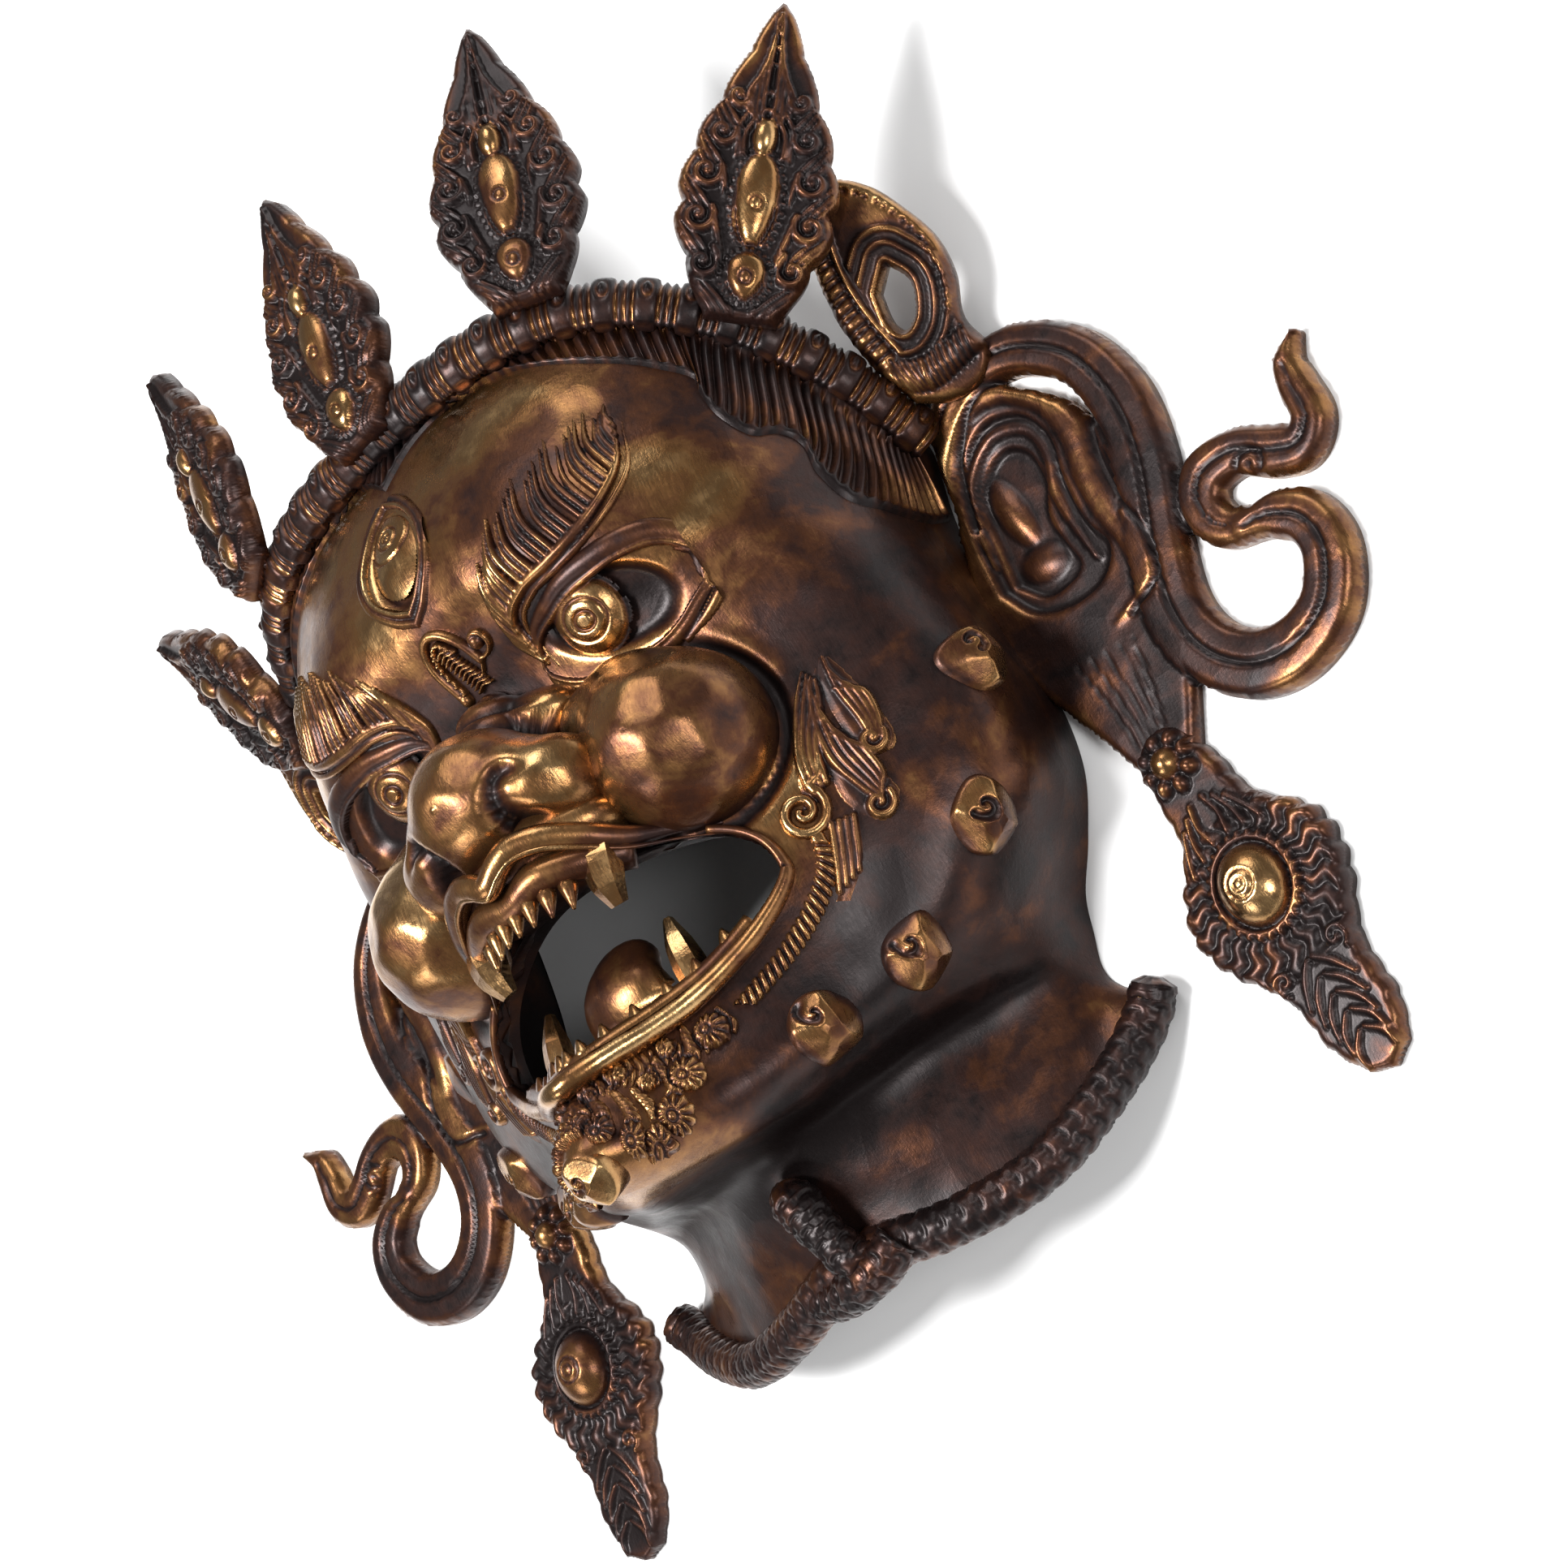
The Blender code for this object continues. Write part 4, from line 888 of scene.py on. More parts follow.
def bandPlace(share):  # share runs from -1 on the left to 1 on the right
    s = np.minimum(np.abs(share), 1.0)
    y = bandSettings["endY"] + bandSettings["rise"] * np.maximum(1 - s ** 4, 0) ** 0.5
    z = bandSettings["endZ"] + bandSettings["forward"] * np.maximum(1 - s ** 2.6, 0) ** 0.5
    place = np.stack([share * bandSettings["side"], y + bandSettings["lift"] * (1 - s), z], -1)
    out = np.stack([share, 0.25 + 0 * s, 0.35 + 0.65 * (1 - s)], -1)
    return place, unit(out)


def evenBand(count):  # places evenly spaced along the band
    fine = np.sin(np.linspace(-math.pi / 2, math.pi / 2, 2001))
    places = bandPlace(fine)[0]
    length = np.concatenate([[0], np.cumsum(np.linalg.norm(np.diff(places, axis=0), axis=1))])
    share = np.interp(np.linspace(0, length[-1], count), length, fine)
    return (*bandPlace(share), length[-1])


def buildBand(lengthSteps, sides):
    places, outs, length = evenBand(lengthSteps)
    tangent = unit(np.gradient(places, axis=0))
    outs = unit(outs - tangent * (outs * tangent).sum(1, keepdims=True))
    across = np.cross(tangent, outs)
    turn = np.linspace(-0.62 * math.pi, 0.62 * math.pi, sides)
    along = np.linspace(0, bandSettings["pillows"], lengthSteps)[:, None]
    phase = along % 1.0
    wide = turn[None] / (0.5 * math.pi)
    pillow = np.clip(1 - (np.abs(phase - 0.5) / 0.27) ** 4, 0, 1) ** 0.5
    ribs = 0.5 + 0.5 * np.cos((phase + 0.5) * 2 * math.pi * 5)
    lift = np.where(pillow > 0, 0.25 + 1.15 * pillow, -0.3 + 1.0 * ribs)
    ex, ey = (phase - 0.5) * length / bandSettings["pillows"], wide * bandSettings["halfWidth"] * 0.9
    d = np.hypot(ex, ey)
    dot = 0.8 * np.exp(-(d / 0.75) ** 2) - 0.9 * np.exp(-((d - 1.45) / 0.4) ** 2)
    lift = lift + np.where(d < 2.4, dot, 0)
    edge = np.clip(1 - ((np.abs(wide) - 1.0) / 0.12) ** 2, 0, 1)
    lift = lift * (1 - edge) + 0.9 * edge
    halfWidth, halfHeight = bandSettings["halfWidth"] + lift, bandSettings["halfHeight"] + lift
    aside = across[:, None] * (np.sin(turn) * halfWidth)[..., None]
    rings = places[:, None] + aside + outs[:, None] * (np.cos(turn) * halfHeight)[..., None]
    return rings.reshape(-1, 3), gridFaces(lengthSteps, sides)


places, faces = buildBand(880, 30)
addPiece("diademBand", places, faces, tint=0.13)

# Hair fringe below the band: comb ridges on scallops with a plain lip
hairline = [(0.0, 2.5), (0.25, 2.22), (0.5, 2.06), (0.95, 2.13), (1.38, 2.32), (1.8, 2.46), (2.15, 2.52),
    (2.38, 2.58), (2.36, 2.72), (2.37, 2.92), (2.5, 3.08), (2.7, 2.97), (2.8, 3.05), (2.77, 3.45),
    (2.88, 3.8), (3.2, 3.75), (3.6, 3.4), (3.9, 3.1)]
fringeSettings = dict(rise=3.4, combs=48)


def buildFringe(steps, depthSteps):
    spots = through(hairline, 400)
    low = headAt(spots[:, 0], spots[:, 1])[0]
    length = np.concatenate([[0], np.cumsum(np.linalg.norm(np.diff(low, axis=0), axis=1))])
    even = np.linspace(0, length[-1], steps)
    spots = np.stack([np.interp(even, length, spots[:, k]) for k in range(2)], 1)
    fine = np.sin(np.linspace(0, math.pi / 2, 400))
    course = bandPlace(fine)[0]
    run = np.concatenate([[0], np.cumsum(np.linalg.norm(np.diff(course, axis=0), axis=1))])
    low = headAt(spots[:, 0], spots[:, 1])[0]
    reach = np.maximum.accumulate(run[np.array([((course - p) ** 2).sum(1).argmin() for p in low])])
    reach = np.convolve(np.pad(reach, 60, mode="edge"), np.ones(121) / 121, "valid")
    reach = (reach - reach[0]) * min(1, 0.95 * run[-1] / (reach[-1] - reach[0]))
    target = bandPlace(np.interp(reach, run, fine))[0]
    netU, netV = np.meshgrid(np.linspace(0, 4, 161), np.linspace(0.4, 3.4, 161))
    netPlaces = headAt(netU, netV)[0].reshape(-1, 3)
    pick = np.array([((netPlaces - p) ** 2).sum(1).argmin() for p in target])
    ends = np.stack([netU.ravel()[pick], netV.ravel()[pick]], 1)
    kernel = np.ones(31) / 31
    ends = [np.convolve(np.pad(ends[:, k], 15, mode="edge"), kernel, "valid") for k in range(2)]
    ends = np.stack(ends, 1)
    t = np.linspace(-0.05, 1, depthSteps)[:, None]
    u, v = spots[:, 0] + (ends[:, 0] - spots[:, 0]) * t, spots[:, 1] + (ends[:, 1] - spots[:, 1]) * t
    place, normal, _, _ = headAt(u, v)
    along = np.linspace(0, fringeSettings["combs"], steps)[None]
    comb = np.abs(np.cos(along * math.pi)) ** 1.2
    edge = np.clip((t + 0.05) / 0.06, 0, 1) ** 0.5
    lip = smoothStep(0.72, 0.8, t)
    teeth = (1 - lip) * smoothStep(0.02, 0.1, t)
    height = -0.9 + edge * (1.3 + fringeSettings["rise"] * (0.35 + 0.5 * t) - teeth * 2.1 * (1 - comb)
        + 0.9 * lip)
    shade = 0.22 * comb * (1 - smoothStep(0.1, 0.65, t)) - 0.02 - 0.2 * (1 - comb) * teeth + 0.04 * lip
    places = place + normal * height[..., None]
    return places.reshape(-1, 3), gridFaces(depthSteps, steps), (shade + 0 * along).ravel()


places, faces, shade = buildFringe(640, 30)
addBoth("fringe", places, faces, shade)
print("band and fringe")

# Crown leaves: scrolled edge, three cabochons with bead arches, strands to the tip
leafSettings = dict(length=86.0, halfWidth=21.0, thickness=6.0, ringShare=0.36, step=0.58)
leafSpots = [
    dict(name="leafMiddle", ring=(0, 123, 95), tip=(0, 178, 93.5), turn=0.0),
    dict(name="leafInner", ring=(66.8, 123.8, 84.4), tip=(75.4, 175.9, 79.7), turn=27.0),
    dict(name="leafOuter", ring=(114.8, 90.5, 51.6), tip=(145.5, 135.2, 44.7), turn=47.0),
]


def leafWidth(share):
    flame = np.interp(share, [0, 0.08, 0.2, 0.3, 0.4, 0.5, 0.6, 0.7, 0.8, 0.9, 0.96, 1.0],
        [0.5, 0.62, 0.86, 0.99, 1.0, 0.93, 0.8, 0.62, 0.44, 0.26, 0.15, 0.0])
    lobes = 0.9 + 0.12 * np.abs(np.sin(np.clip(share - 0.03, 0, 1) * math.pi * 6.2)) ** 0.7
    return leafSettings["halfWidth"] * flame * lobes


def drawLeaf(x, y):
    height = np.full(x.shape, 1.2)
    side = np.abs(x)
    scrolls = [(11.5, 14, 4.6, 1.25, -1.0, 1), (14.5, 26, 4.4, 1.3, -0.6, 1), (13.8, 38, 4.2, 1.3, -0.4, 1),
        (11.0, 49, 3.7, 1.2, -0.2, 1), (8.0, 59, 3.0, 1.1, 0.0, 1)]
    for cx, cy, r, turns, start, hand in scrolls:
        path = spiral(cx, cy, r, turns, start + math.pi, hand, tail=[(cx - r * 1.9, cy - r * 2.6),
                (cx - r * 1.35, cy - r * 1.2)])
        ridge(height, side, y, path, [0.8, 1.2, 1.2, 1.0, 0.8], [1.2, 2.2, 2.4, 2.2, 2.4], 1.0)
        dome(height, side, y, cx, cy, 1.2, 1.2, 2.2, 1.0)
    for cx, cy, dx, dy in ((16.5, 20, 4, 7), (17.5, 32, 3, 7), (15.5, 43.5, 2.4, 7), (12, 54, 1.8, 7),
        (9, 5, 4, 6)):
        for k in (-1, 0, 1):
            path = curve([(cx - 5 + k * 1.2, cy - 5 - k), (cx - 1.5 + k * 1.7, cy - 1.0 - k * 0.6),
                    (cx + dx * 0.7 + k * 0.8, cy + dy * 0.55 - k * 1.2)], 5)
            ridge(height, side, y, path, [0.6, 0.95, 0.5], [1.4, 1.9, 1.2], 0.9)
    for k in range(4):
        path = curve([(1.0 + 1.3 * k, 50 + 1.5 * k), (1.6 + 1.6 * k, 58), (1.2 + 1.0 * k, 70 - 2.2 * k),
                (0.4, 82 - 4.5 * k)], 6)
        ridge(height, side, y, path, [0.6, 0.8, 0.8, 0.4], 1.8, 1.1)
    for cx, cy, rx, ry, beads, reach in ((0, 31.8, 5.2, 12.5, 34, 1.35), (0, 11.5, 4.8, 6.2, 24, 1.42)):
        ground = np.hypot(x / (rx * 1.62), (y - cy) / (ry * (1.42 if ry < 8 else 1.25)))
        height[ground < 1] = np.minimum(height[ground < 1], 1.0)
        for k in range(beads):
            t = -0.5 * math.pi + (k + 0.5) / beads * 2 * math.pi
            if ry > 8 and math.sin(t) < -0.9:
                continue
            bead = (cx + rx * reach * math.cos(t), cy + ry * (1.2 if ry < 8 else 1.14) * math.sin(t))
            dome(height, x, y, *bead, 0.62, 0.62, 1.3, 0.9)
        circle = np.linspace(0, 2 * math.pi, 41)
        rim = np.stack([cx + rx * 1.14 * np.cos(circle), cy + ry * 1.08 * np.sin(circle)], 1)
        ridge(height, x, y, rim, 0.55, 0.9, 1.0)
        widen = 1 + 0.22 * np.clip((y - cy) / ry, -1, 1)
        t = 1 - (x / (rx * widen)) ** 2 - ((y - cy) / ry) ** 2
        height = np.where(t > 0, np.maximum(height, 1.4 + 3.0 * np.maximum(t, 0) ** 0.42), height)
        height -= 0.7 * np.maximum(1 - ((np.hypot(x, y - cy + 0.1 * ry) - 1.7) / 0.45) ** 2, 0)
    dome(height, x, y, 0, 48.5, 3.2, 5.2, 3.2, 1.3)
    arch = curve([(-5.2, 43.5), (-4.9, 50), (0, 56), (4.9, 50), (5.2, 43.5)], 6)
    ridge(height, x, y, arch, 0.8, 1.7, 1.2)
    outer = curve([(-7.0, 43), (-7.0, 51), (-2.5, 58.5), (0, 61)], 6)
    ridge(height, x, y, outer, 0.7, 1.5, 1.1)
    ridge(height, x, y, outer * (-1, 1), 0.7, 1.5, 1.1)
    stones = ((6, 31.8, 13), (5.2, 11.5, 6.6), (3.4, 48.5, 5.4))
    cabochon = np.any([np.hypot(x / rx, (y - cy) / ry) < 1 for rx, cy, ry in stones], axis=0)
    return height, np.where(cabochon, 0.11, -0.22)


def buildLeaf():
    step = leafSettings["step"]
    x, y = np.meshgrid(np.arange(-24, 24.01, step), np.arange(-3, leafSettings["length"] + 3, step))
    share = np.clip(y / leafSettings["length"], 0, 1)
    width = leafWidth(share)
    outside = (np.abs(x) - width) * 0.88
    outside = np.maximum(outside, np.maximum(y - leafSettings["length"], -y))
    height, shade = drawLeaf(x, y)
    half = leafSettings["thickness"] / 2 - 1.2
    edge = roundedEdge(outside, 2.2)
    top = -0.6 + (half + height + 0.6) * edge
    places, faces, source = castPlate(x, y, outside, top, -leafSettings["thickness"] / 2, step)
    return places, faces, shade.ravel()[source]


leafPlaces, leafFaces, leafShade = buildLeaf()
for spot in leafSpots:
    for side in ((1,) if spot["turn"] == 0 else (1, -1)):
        flip = np.array([side, 1, 1])
        ring, tip = np.array(spot["ring"], float) * flip, np.array(spot["tip"], float) * flip
        up = unit(tip - ring)
        turn = math.radians(spot["turn"]) * side
        out = np.array([math.sin(turn), 0, math.cos(turn)])
        out = unit(out - up * (out @ up))
        right = np.cross(up, out)
        origin = ring - up * leafSettings["length"] * leafSettings["ringShare"]
        places = origin + leafPlaces[:, :1] * right + leafPlaces[:, 1:2] * up + leafPlaces[:, 2:] * out
        label = spot["name"] + ("" if spot["turn"] == 0 else "Right" if side > 0 else "Left")
        addPiece(label, places, leafFaces, tint=leafShade)
print("crown leaves")

# Ear plates: ear with stepped hollow, ribbon curling to a loop, swirl to a tip
earSettings = dict(step=0.9, back=0.0, thickness=7.0)
earAxis = [(112, 34), (121, 8), (123, -14), (123, -38), (124, -60), (123, -84)]
earHalfWidths = [10, 24, 30, 27, 19, 8]
ribbonAxis = [(108, 30), (116, 36.5), (128, 38), (140, 34), (152, 22), (157, 4), (155, -14), (148, -34),
    (144, -52), (147, -66), (156, -76), (168, -79), (180, -75), (187, -64), (186, -54), (179, -48),
    (171, -46)]
ribbonHalfWidths = [4, 6, 6.5, 7, 7.5, 8.5, 8.5, 8.5, 8.5, 8.5, 8.8, 8.5, 8, 7.5, 7, 6, 3.5]
swirlAxis = [(173, -46), (166, -42), (163.5, -34), (168, -27.5), (178, -28), (187, -34.5), (194, -37.5),
    (199.5, -33), (200, -24), (201, -18), (206, -13)]
swirlHalfWidths = [4.5, 5.5, 6.5, 7, 6, 6.5, 6, 5.5, 5, 4, 1.2]


def stripDistance(x, y, axis, halfWidths):
    d, along = nearest(x, y, curve(axis, 8))
    return d - spread(halfWidths, along), d, along


def drawEarPlate(x, y):
    ear, _, _ = stripDistance(x, y, earAxis, earHalfWidths)
    ribbon, ribbonD, ribbonAlong = stripDistance(x, y, ribbonAxis, ribbonHalfWidths)
    swirl, swirlD, swirlAlong = stripDistance(x, y, swirlAxis, swirlHalfWidths)
    outside = np.minimum(np.minimum(ear, ribbon), swirl)
    ribbonPath = curve(ribbonAxis, 8)
    height = np.full(x.shape, earSettings["thickness"] - 1.6)
    hollowOuter = curve([(101, -4), (104, 10), (110, 20), (120, 25), (131, 20), (136, 9), (134, -3),
            (134, -16), (137, -26), (131, -33), (120, -34), (108, -29), (101, -18)], 5)
    hollowInner = curve([(106, -6), (107, 6), (113, 14), (121, 16), (127, 11), (128, 1), (124, -8),
            (125, -17), (126, -24), (121, -27), (112, -26), (105, -18)], 5)
    within, inner = insidePath(x, y, hollowOuter), insidePath(x, y, hollowInner)
    dOuter, dInner = (nearest(x, y, np.concatenate([p, p[:1]]))[0] for p in (hollowOuter, hollowInner))
    height -= np.where(within, 2.4 * smoothStep(0, 2.2, dOuter), 0)
    height -= np.where(inner, 1.9 * smoothStep(0, 1.6, dInner), 0)
    height = np.maximum(height, 1.2)
    helix = curve([(98, 2), (101, 15), (107, 25), (118, 31), (130, 28), (139, 18), (141.5, 6), (139.5, -6),
            (139.5, -18), (142, -30), (139, -42), (128, -45)], 8)
    ridge(height, x, y, helix, [1.5, 2.5, 3.5, 4.2, 4.4, 4.4, 4.2, 3.8, 3.4, 3.4, 3, 1],
        [1.4, 2.2, 2.6, 2.8, 2.8, 2.4, 2, 2, 2, 1.6, 1], earSettings["thickness"] - 2.2)
    fold = curve([(103, -10), (104.5, 6), (110, 16), (120, 20.5), (130, 15.5), (132, 6), (129, -4),
            (129.5, -14), (131, -26)], 6)
    ridge(height, x, y, fold, [0.8, 1.8, 2.3, 2.4, 2.4, 2.4, 2.4, 2, 1], 2.4, 2.2)
    ribbonShare = ribbonD / np.maximum(spread(ribbonHalfWidths, ribbonAlong), 1)
    ribbonTop = earSettings["thickness"] - 0.6 + 1.3 * np.sqrt(np.clip(1 - ribbonShare ** 2, 0, 1))
    height = np.where(ribbon < 0, np.maximum(height, ribbonTop), height)
    swirlShare = swirlD / np.maximum(spread(swirlHalfWidths, swirlAlong), 1)
    swirlTop = earSettings["thickness"] - 0.8 + 0.9 * np.sqrt(np.clip(1 - swirlShare ** 2, 0, 1))
    height = np.where((swirl < 0) & (ribbon > -1.5), np.maximum(height, swirlTop), height)
    groove(height, x, y, ribbonPath, [0.3, 0.8, 1.0, 1.0, 1.0, 1.0, 1.0, 0.9, 0.5], 1.6)
    groove(height, x, y, helix + (5.4, 0), 1.1, 1.6)
    swirlPath = curve(swirlAxis, 8)
    groove(height, x, y, swirlPath[6:-8], [0.4, 0.9, 0.9, 0.4], 1.2)
    ringPath = spiral(181, -34.5, 4.6, 1.1, 2.6, -1)
    groove(height, x, y, ringPath, [0.9, 0.8, 0.5], 1.3)
    dome(height, x, y, 114, 0, 5.0, 13.0, 2.4, 1.2, turn=0.2, flat=1.0)
    dome(height, x, y, 116, -17, 8.0, 5.5, 2.0, 1.2, turn=-0.3, flat=1.0)
    for k in range(5):
        groove(height, x, y, curve([(112 + 4.5 * k, -47 - k), (116 + 3.0 * k, -66), (118 + 1.5 * k, -84)],
                5), [0.4, 0.7, 0.4], 0.6)
    tone = np.where(inner, 0.03, 0.0) + 0.14 * np.exp(-(nearest(x, y, helix)[0] / 3.5) ** 2)
    tone = tone - 0.05 * (ribbon < 0) * smoothStep(0.25, 0.4, ribbonAlong) - 0.15
    return outside, height, tone


def buildEarPlate():
    step = earSettings["step"]
    x, y = np.meshgrid(np.arange(88, 210, step), np.arange(-96, 46, step))
    outside, height, tone = drawEarPlate(x, y)
    top = 2.2 + (height - 2.2) * roundedEdge(outside, 2.6)
    places, faces, source = castPlate(x, y, outside, top, earSettings["back"], step)
    return places, faces, tone.ravel()[source]


places, faces, shade = buildEarPlate()
addBoth("earPlate", places, faces, shade)
print("ear plates")

# Pendants: flower knob, feathered oval with a golden boss, tapering tail
pendantSettings = dict(top=(123.0, -83.0), tip=(138.0, -178.0), step=0.56, thickness=7.5)


def pendantWidth(share):
    return np.interp(share, [0, 0.06, 0.12, 0.18, 0.24, 0.3, 0.36, 0.42, 0.5, 0.57, 0.63, 0.7, 0.76, 0.85,
            0.92, 0.97, 1.0], [8, 10, 10.5, 11, 14, 19, 22.5, 23.5, 22, 19, 15, 12, 11.5, 11.5, 9, 6, 0])


def drawPendant(a, b, length):
    share = a / length
    height = np.full(a.shape, pendantSettings["thickness"] - 1.5)
    side = np.abs(b)
    mid = 0.42 * length
    d = np.hypot(a - mid, b)
    angle = np.arctan2(b, a - mid)
    feathers = np.abs(np.sin(angle * 11 + 0.6 * np.sin(d * 0.9))) ** 0.8
    zone = smoothStep(12.0, 13.0, d) * (share > 0.22) * (share < 0.68)
    height += zone * (1.5 * feathers - 0.8)
    for k in range(26):
        t = (k + 0.5) / 26 * 2 * math.pi
        dome(height, a, b, mid + 13.6 * math.cos(t), 12.2 * math.sin(t), 0.85, 0.85, 1.4,
            pendantSettings["thickness"] - 0.6)
    near = np.abs(np.hypot((a - mid) / 1.1, b) - 11.2)
    ring = 1.5 * np.sqrt(np.clip(1 - near ** 2, 0, 1)) - 9 * (near > 1)
    height = np.maximum(height, pendantSettings["thickness"] - 0.8 + ring)
    dome(height, a, b, mid, 0, 10.8, 9.4, 8.4, pendantSettings["thickness"] - 1.2, flat=0.55)
    for radius, width, depth in ((3.6, 0.5, 0.8), (1.6, 0.45, 0.7)):
        height -= depth * np.maximum(1 - ((d - radius) / width) ** 2, 0)
    for k in range(8):
        t = k / 8 * 2 * math.pi
        dome(height, a, b, 1 + 6.2 * math.cos(t), 6.2 * math.sin(t), 2.8, 2.3, 3.2,
            pendantSettings["thickness"] - 1.8, turn=t)
    dome(height, a, b, 1, 0, 4.4, 4.4, 5.2, pendantSettings["thickness"] - 1.5)
    for k in range(3):
        path = curve([(0.14 * length + 2 * k, 2.2 + 2.6 * k), (0.2 * length + 2 * k, 3.5 + 3.4 * k),
                (0.26 * length + 1.5 * k, 2.5 + 4.8 * k)], 5)
        ridge(height, a, side, path, 0.9, 1.6, pendantSettings["thickness"] - 1.6)
    for k in range(5):
        path = curve([((0.66 + 0.055 * k) * length, 0.8), ((0.70 + 0.055 * k) * length, 4.5),
                ((0.765 + 0.052 * k) * length, 7.8 - k * 0.7)], 5)
        ridge(height, a, side, path, [0.7, 1.3, 0.7], 1.8, pendantSettings["thickness"] - 1.9)
    ridge(height, a, side, spiral(0.665 * length, 9.0, 3.6, 1.1, 0.4), 0.9, 1.8,
        pendantSettings["thickness"] - 1.7)
    tone = np.where(np.hypot((a - mid) / 10.8, b / 9.4) < 1, 0.10, -0.20)
    tone = tone + np.where(np.hypot(a - 1, b) < 4.4, 0.26, 0)
    return height, tone


def buildPendant():
    step = pendantSettings["step"]
    top, tip = np.array(pendantSettings["top"]), np.array(pendantSettings["tip"])
    length = np.linalg.norm(tip - top)
    down = (tip - top) / length
    a, b = np.meshgrid(np.arange(-12, length + 2, step), np.arange(-26, 26.01, step))
    share = np.clip(a / length, 0, 1)
    scallop = 1 + 0.055 * np.abs(np.sin(share * math.pi * 15)) - 0.03
    outside = (np.abs(b) - pendantWidth(share) * scallop) * 0.88
    outside = np.where(a < 0, np.hypot(a, b) - 9.5, outside)
    outside = np.maximum(outside, a - length)
    height, tone = drawPendant(a, b, length)
    rise = 2.2 + (height - 2.2) * roundedEdge(outside, 2.4)
    rise = rise - 1.6 * smoothStep(0.65, 1.0, share)
    places, faces, source = castPlate(a, b, outside, rise, 0.0, step)
    flat = top + places[:, :1] * down + places[:, 1:2] * np.array([down[1], -down[0]]) * -1
    return np.concatenate([flat, places[:, 2:]], 1), faces, tone.ravel()[source]


places, faces, shade = buildPendant()
addBoth("pendant", places, faces, shade)
print("pendants")

# Bows beside the crown: a band turned into an eye, ribbed inside, beaded along its outer edge
bowSettings = dict(place=(122.0, 42.0, 9.0), stretch=1.08, lean=(0.35, -0.45, 1.0), step=0.56,
    thickness=7.0)


def buildBow():
    step = bowSettings["step"]
    x, y = np.meshgrid(np.arange(96, 142, step), np.arange(28, 100, step))
    outer = curve([(104, 50), (102, 64), (104, 80), (110, 92), (119, 95), (127, 89), (132, 80), (135.5, 70),
            (135, 60), (131, 50), (133, 40), (127, 34), (117, 34), (109, 38)], 6)
    hole = curve([(121, 70), (124, 64), (121, 57), (116.5, 54.5), (114.5, 58), (115.5, 65)], 6)
    dOuter, dHole = (nearest(x, y, np.concatenate([p, p[:1]]))[0] for p in (outer, hole))
    outside = np.where(insidePath(x, y, outer), -dOuter, dOuter)
    outside = np.maximum(outside, np.where(insidePath(x, y, hole), dHole, -dHole))
    height = np.full(x.shape, bowSettings["thickness"] - 1.6)
    limb = curve([(108, 86), (105.5, 74), (106, 62), (108.5, 50)], 8)
    ridge(height, x, y, limb, [2.6, 3.2, 3.2, 2.6], 2.0, bowSettings["thickness"] - 2.0)
    for k in range(16):
        p = limb[int((k + 0.5) / 16 * (len(limb) - 1))]
        groove(height, x, y, np.array([p - (3.6, 0.6), p + (3.6, 0.6)]), 0.55, 1.3)
    for path in (limb - (4.6, 0), limb + (4.4, 0)):
        ridge(height, x, y, path, 0.9, 1.6, bowSettings["thickness"] - 1.8)
    for grow, width in ((1.6, 0.9), (5.6, 0.8), (9.0, 0.9)):
        near = np.abs(dHole - grow)
        t = np.where(insidePath(x, y, hole), 0, np.clip(1 - (near / width) ** 2, 0, 1)) * (x > 112)
        height = np.maximum(height, bowSettings["thickness"] - 1.8 + 1.7 * np.sqrt(t) - 9 * (t <= 0))
    beads = curve([(113, 90.5), (119.5, 91.5), (126, 86), (130.5, 78), (132.3, 69), (131.5, 60), (128, 51)],
        8)
    for k in range(20):
        p = beads[int((k + 0.5) / 20 * (len(beads) - 1))]
        height -= 0.9 * np.exp(-((np.hypot(x - p[0], y - p[1])) / 0.8) ** 2)
    tie = curve([(109, 45.5), (117, 42.5), (131, 44.5)], 8)
    ridge(height, x, y, tie, [4.4, 4.4, 3.8], 3.0, bowSettings["thickness"] - 2.0)
    for k in range(15):
        p = tie[int((k + 0.5) / 15 * (len(tie) - 1))]
        groove(height, x, y, np.array([p - (0.5, 4.2), p + (0.5, 4.2)]), 0.5, 1.2)
    rise = 1.6 + (height - 1.6) * roundedEdge(outside, 2.2)
    places, faces, _ = castPlate(x, y, outside, rise, -1.5, step)
    lean = unit(np.array(bowSettings["lean"]))
    right = unit(np.cross((0, 1, 0), lean))
    up = np.cross(lean, right)
    place = np.array(bowSettings["place"])
    local = places - place * (1, 1, 0)
    turned = local[:, :1] * right + local[:, 1:2] * up * bowSettings["stretch"] + local[:, 2:] * lean
    return place + turned, faces


places, faces = buildBow()
addBoth("bow", places, faces, -0.08)
print("bows")

# Jaw studs: faceted knobs with a comma groove and a pointed tail
studSpots = [(1.72, 8.88, 0.2), (2.45, 8.85, 1.1), (2.95, 7.8, 2.0), (3.0, 6.08, 3.0)]
studSettings = dict(radius=9.0, height=9.5, chinSpot=(0.0, 9.3),
    chinSeat=dict(place=(0, -127.8, 122.0), out=(0, -0.6, 0.8), skirt=4.5))


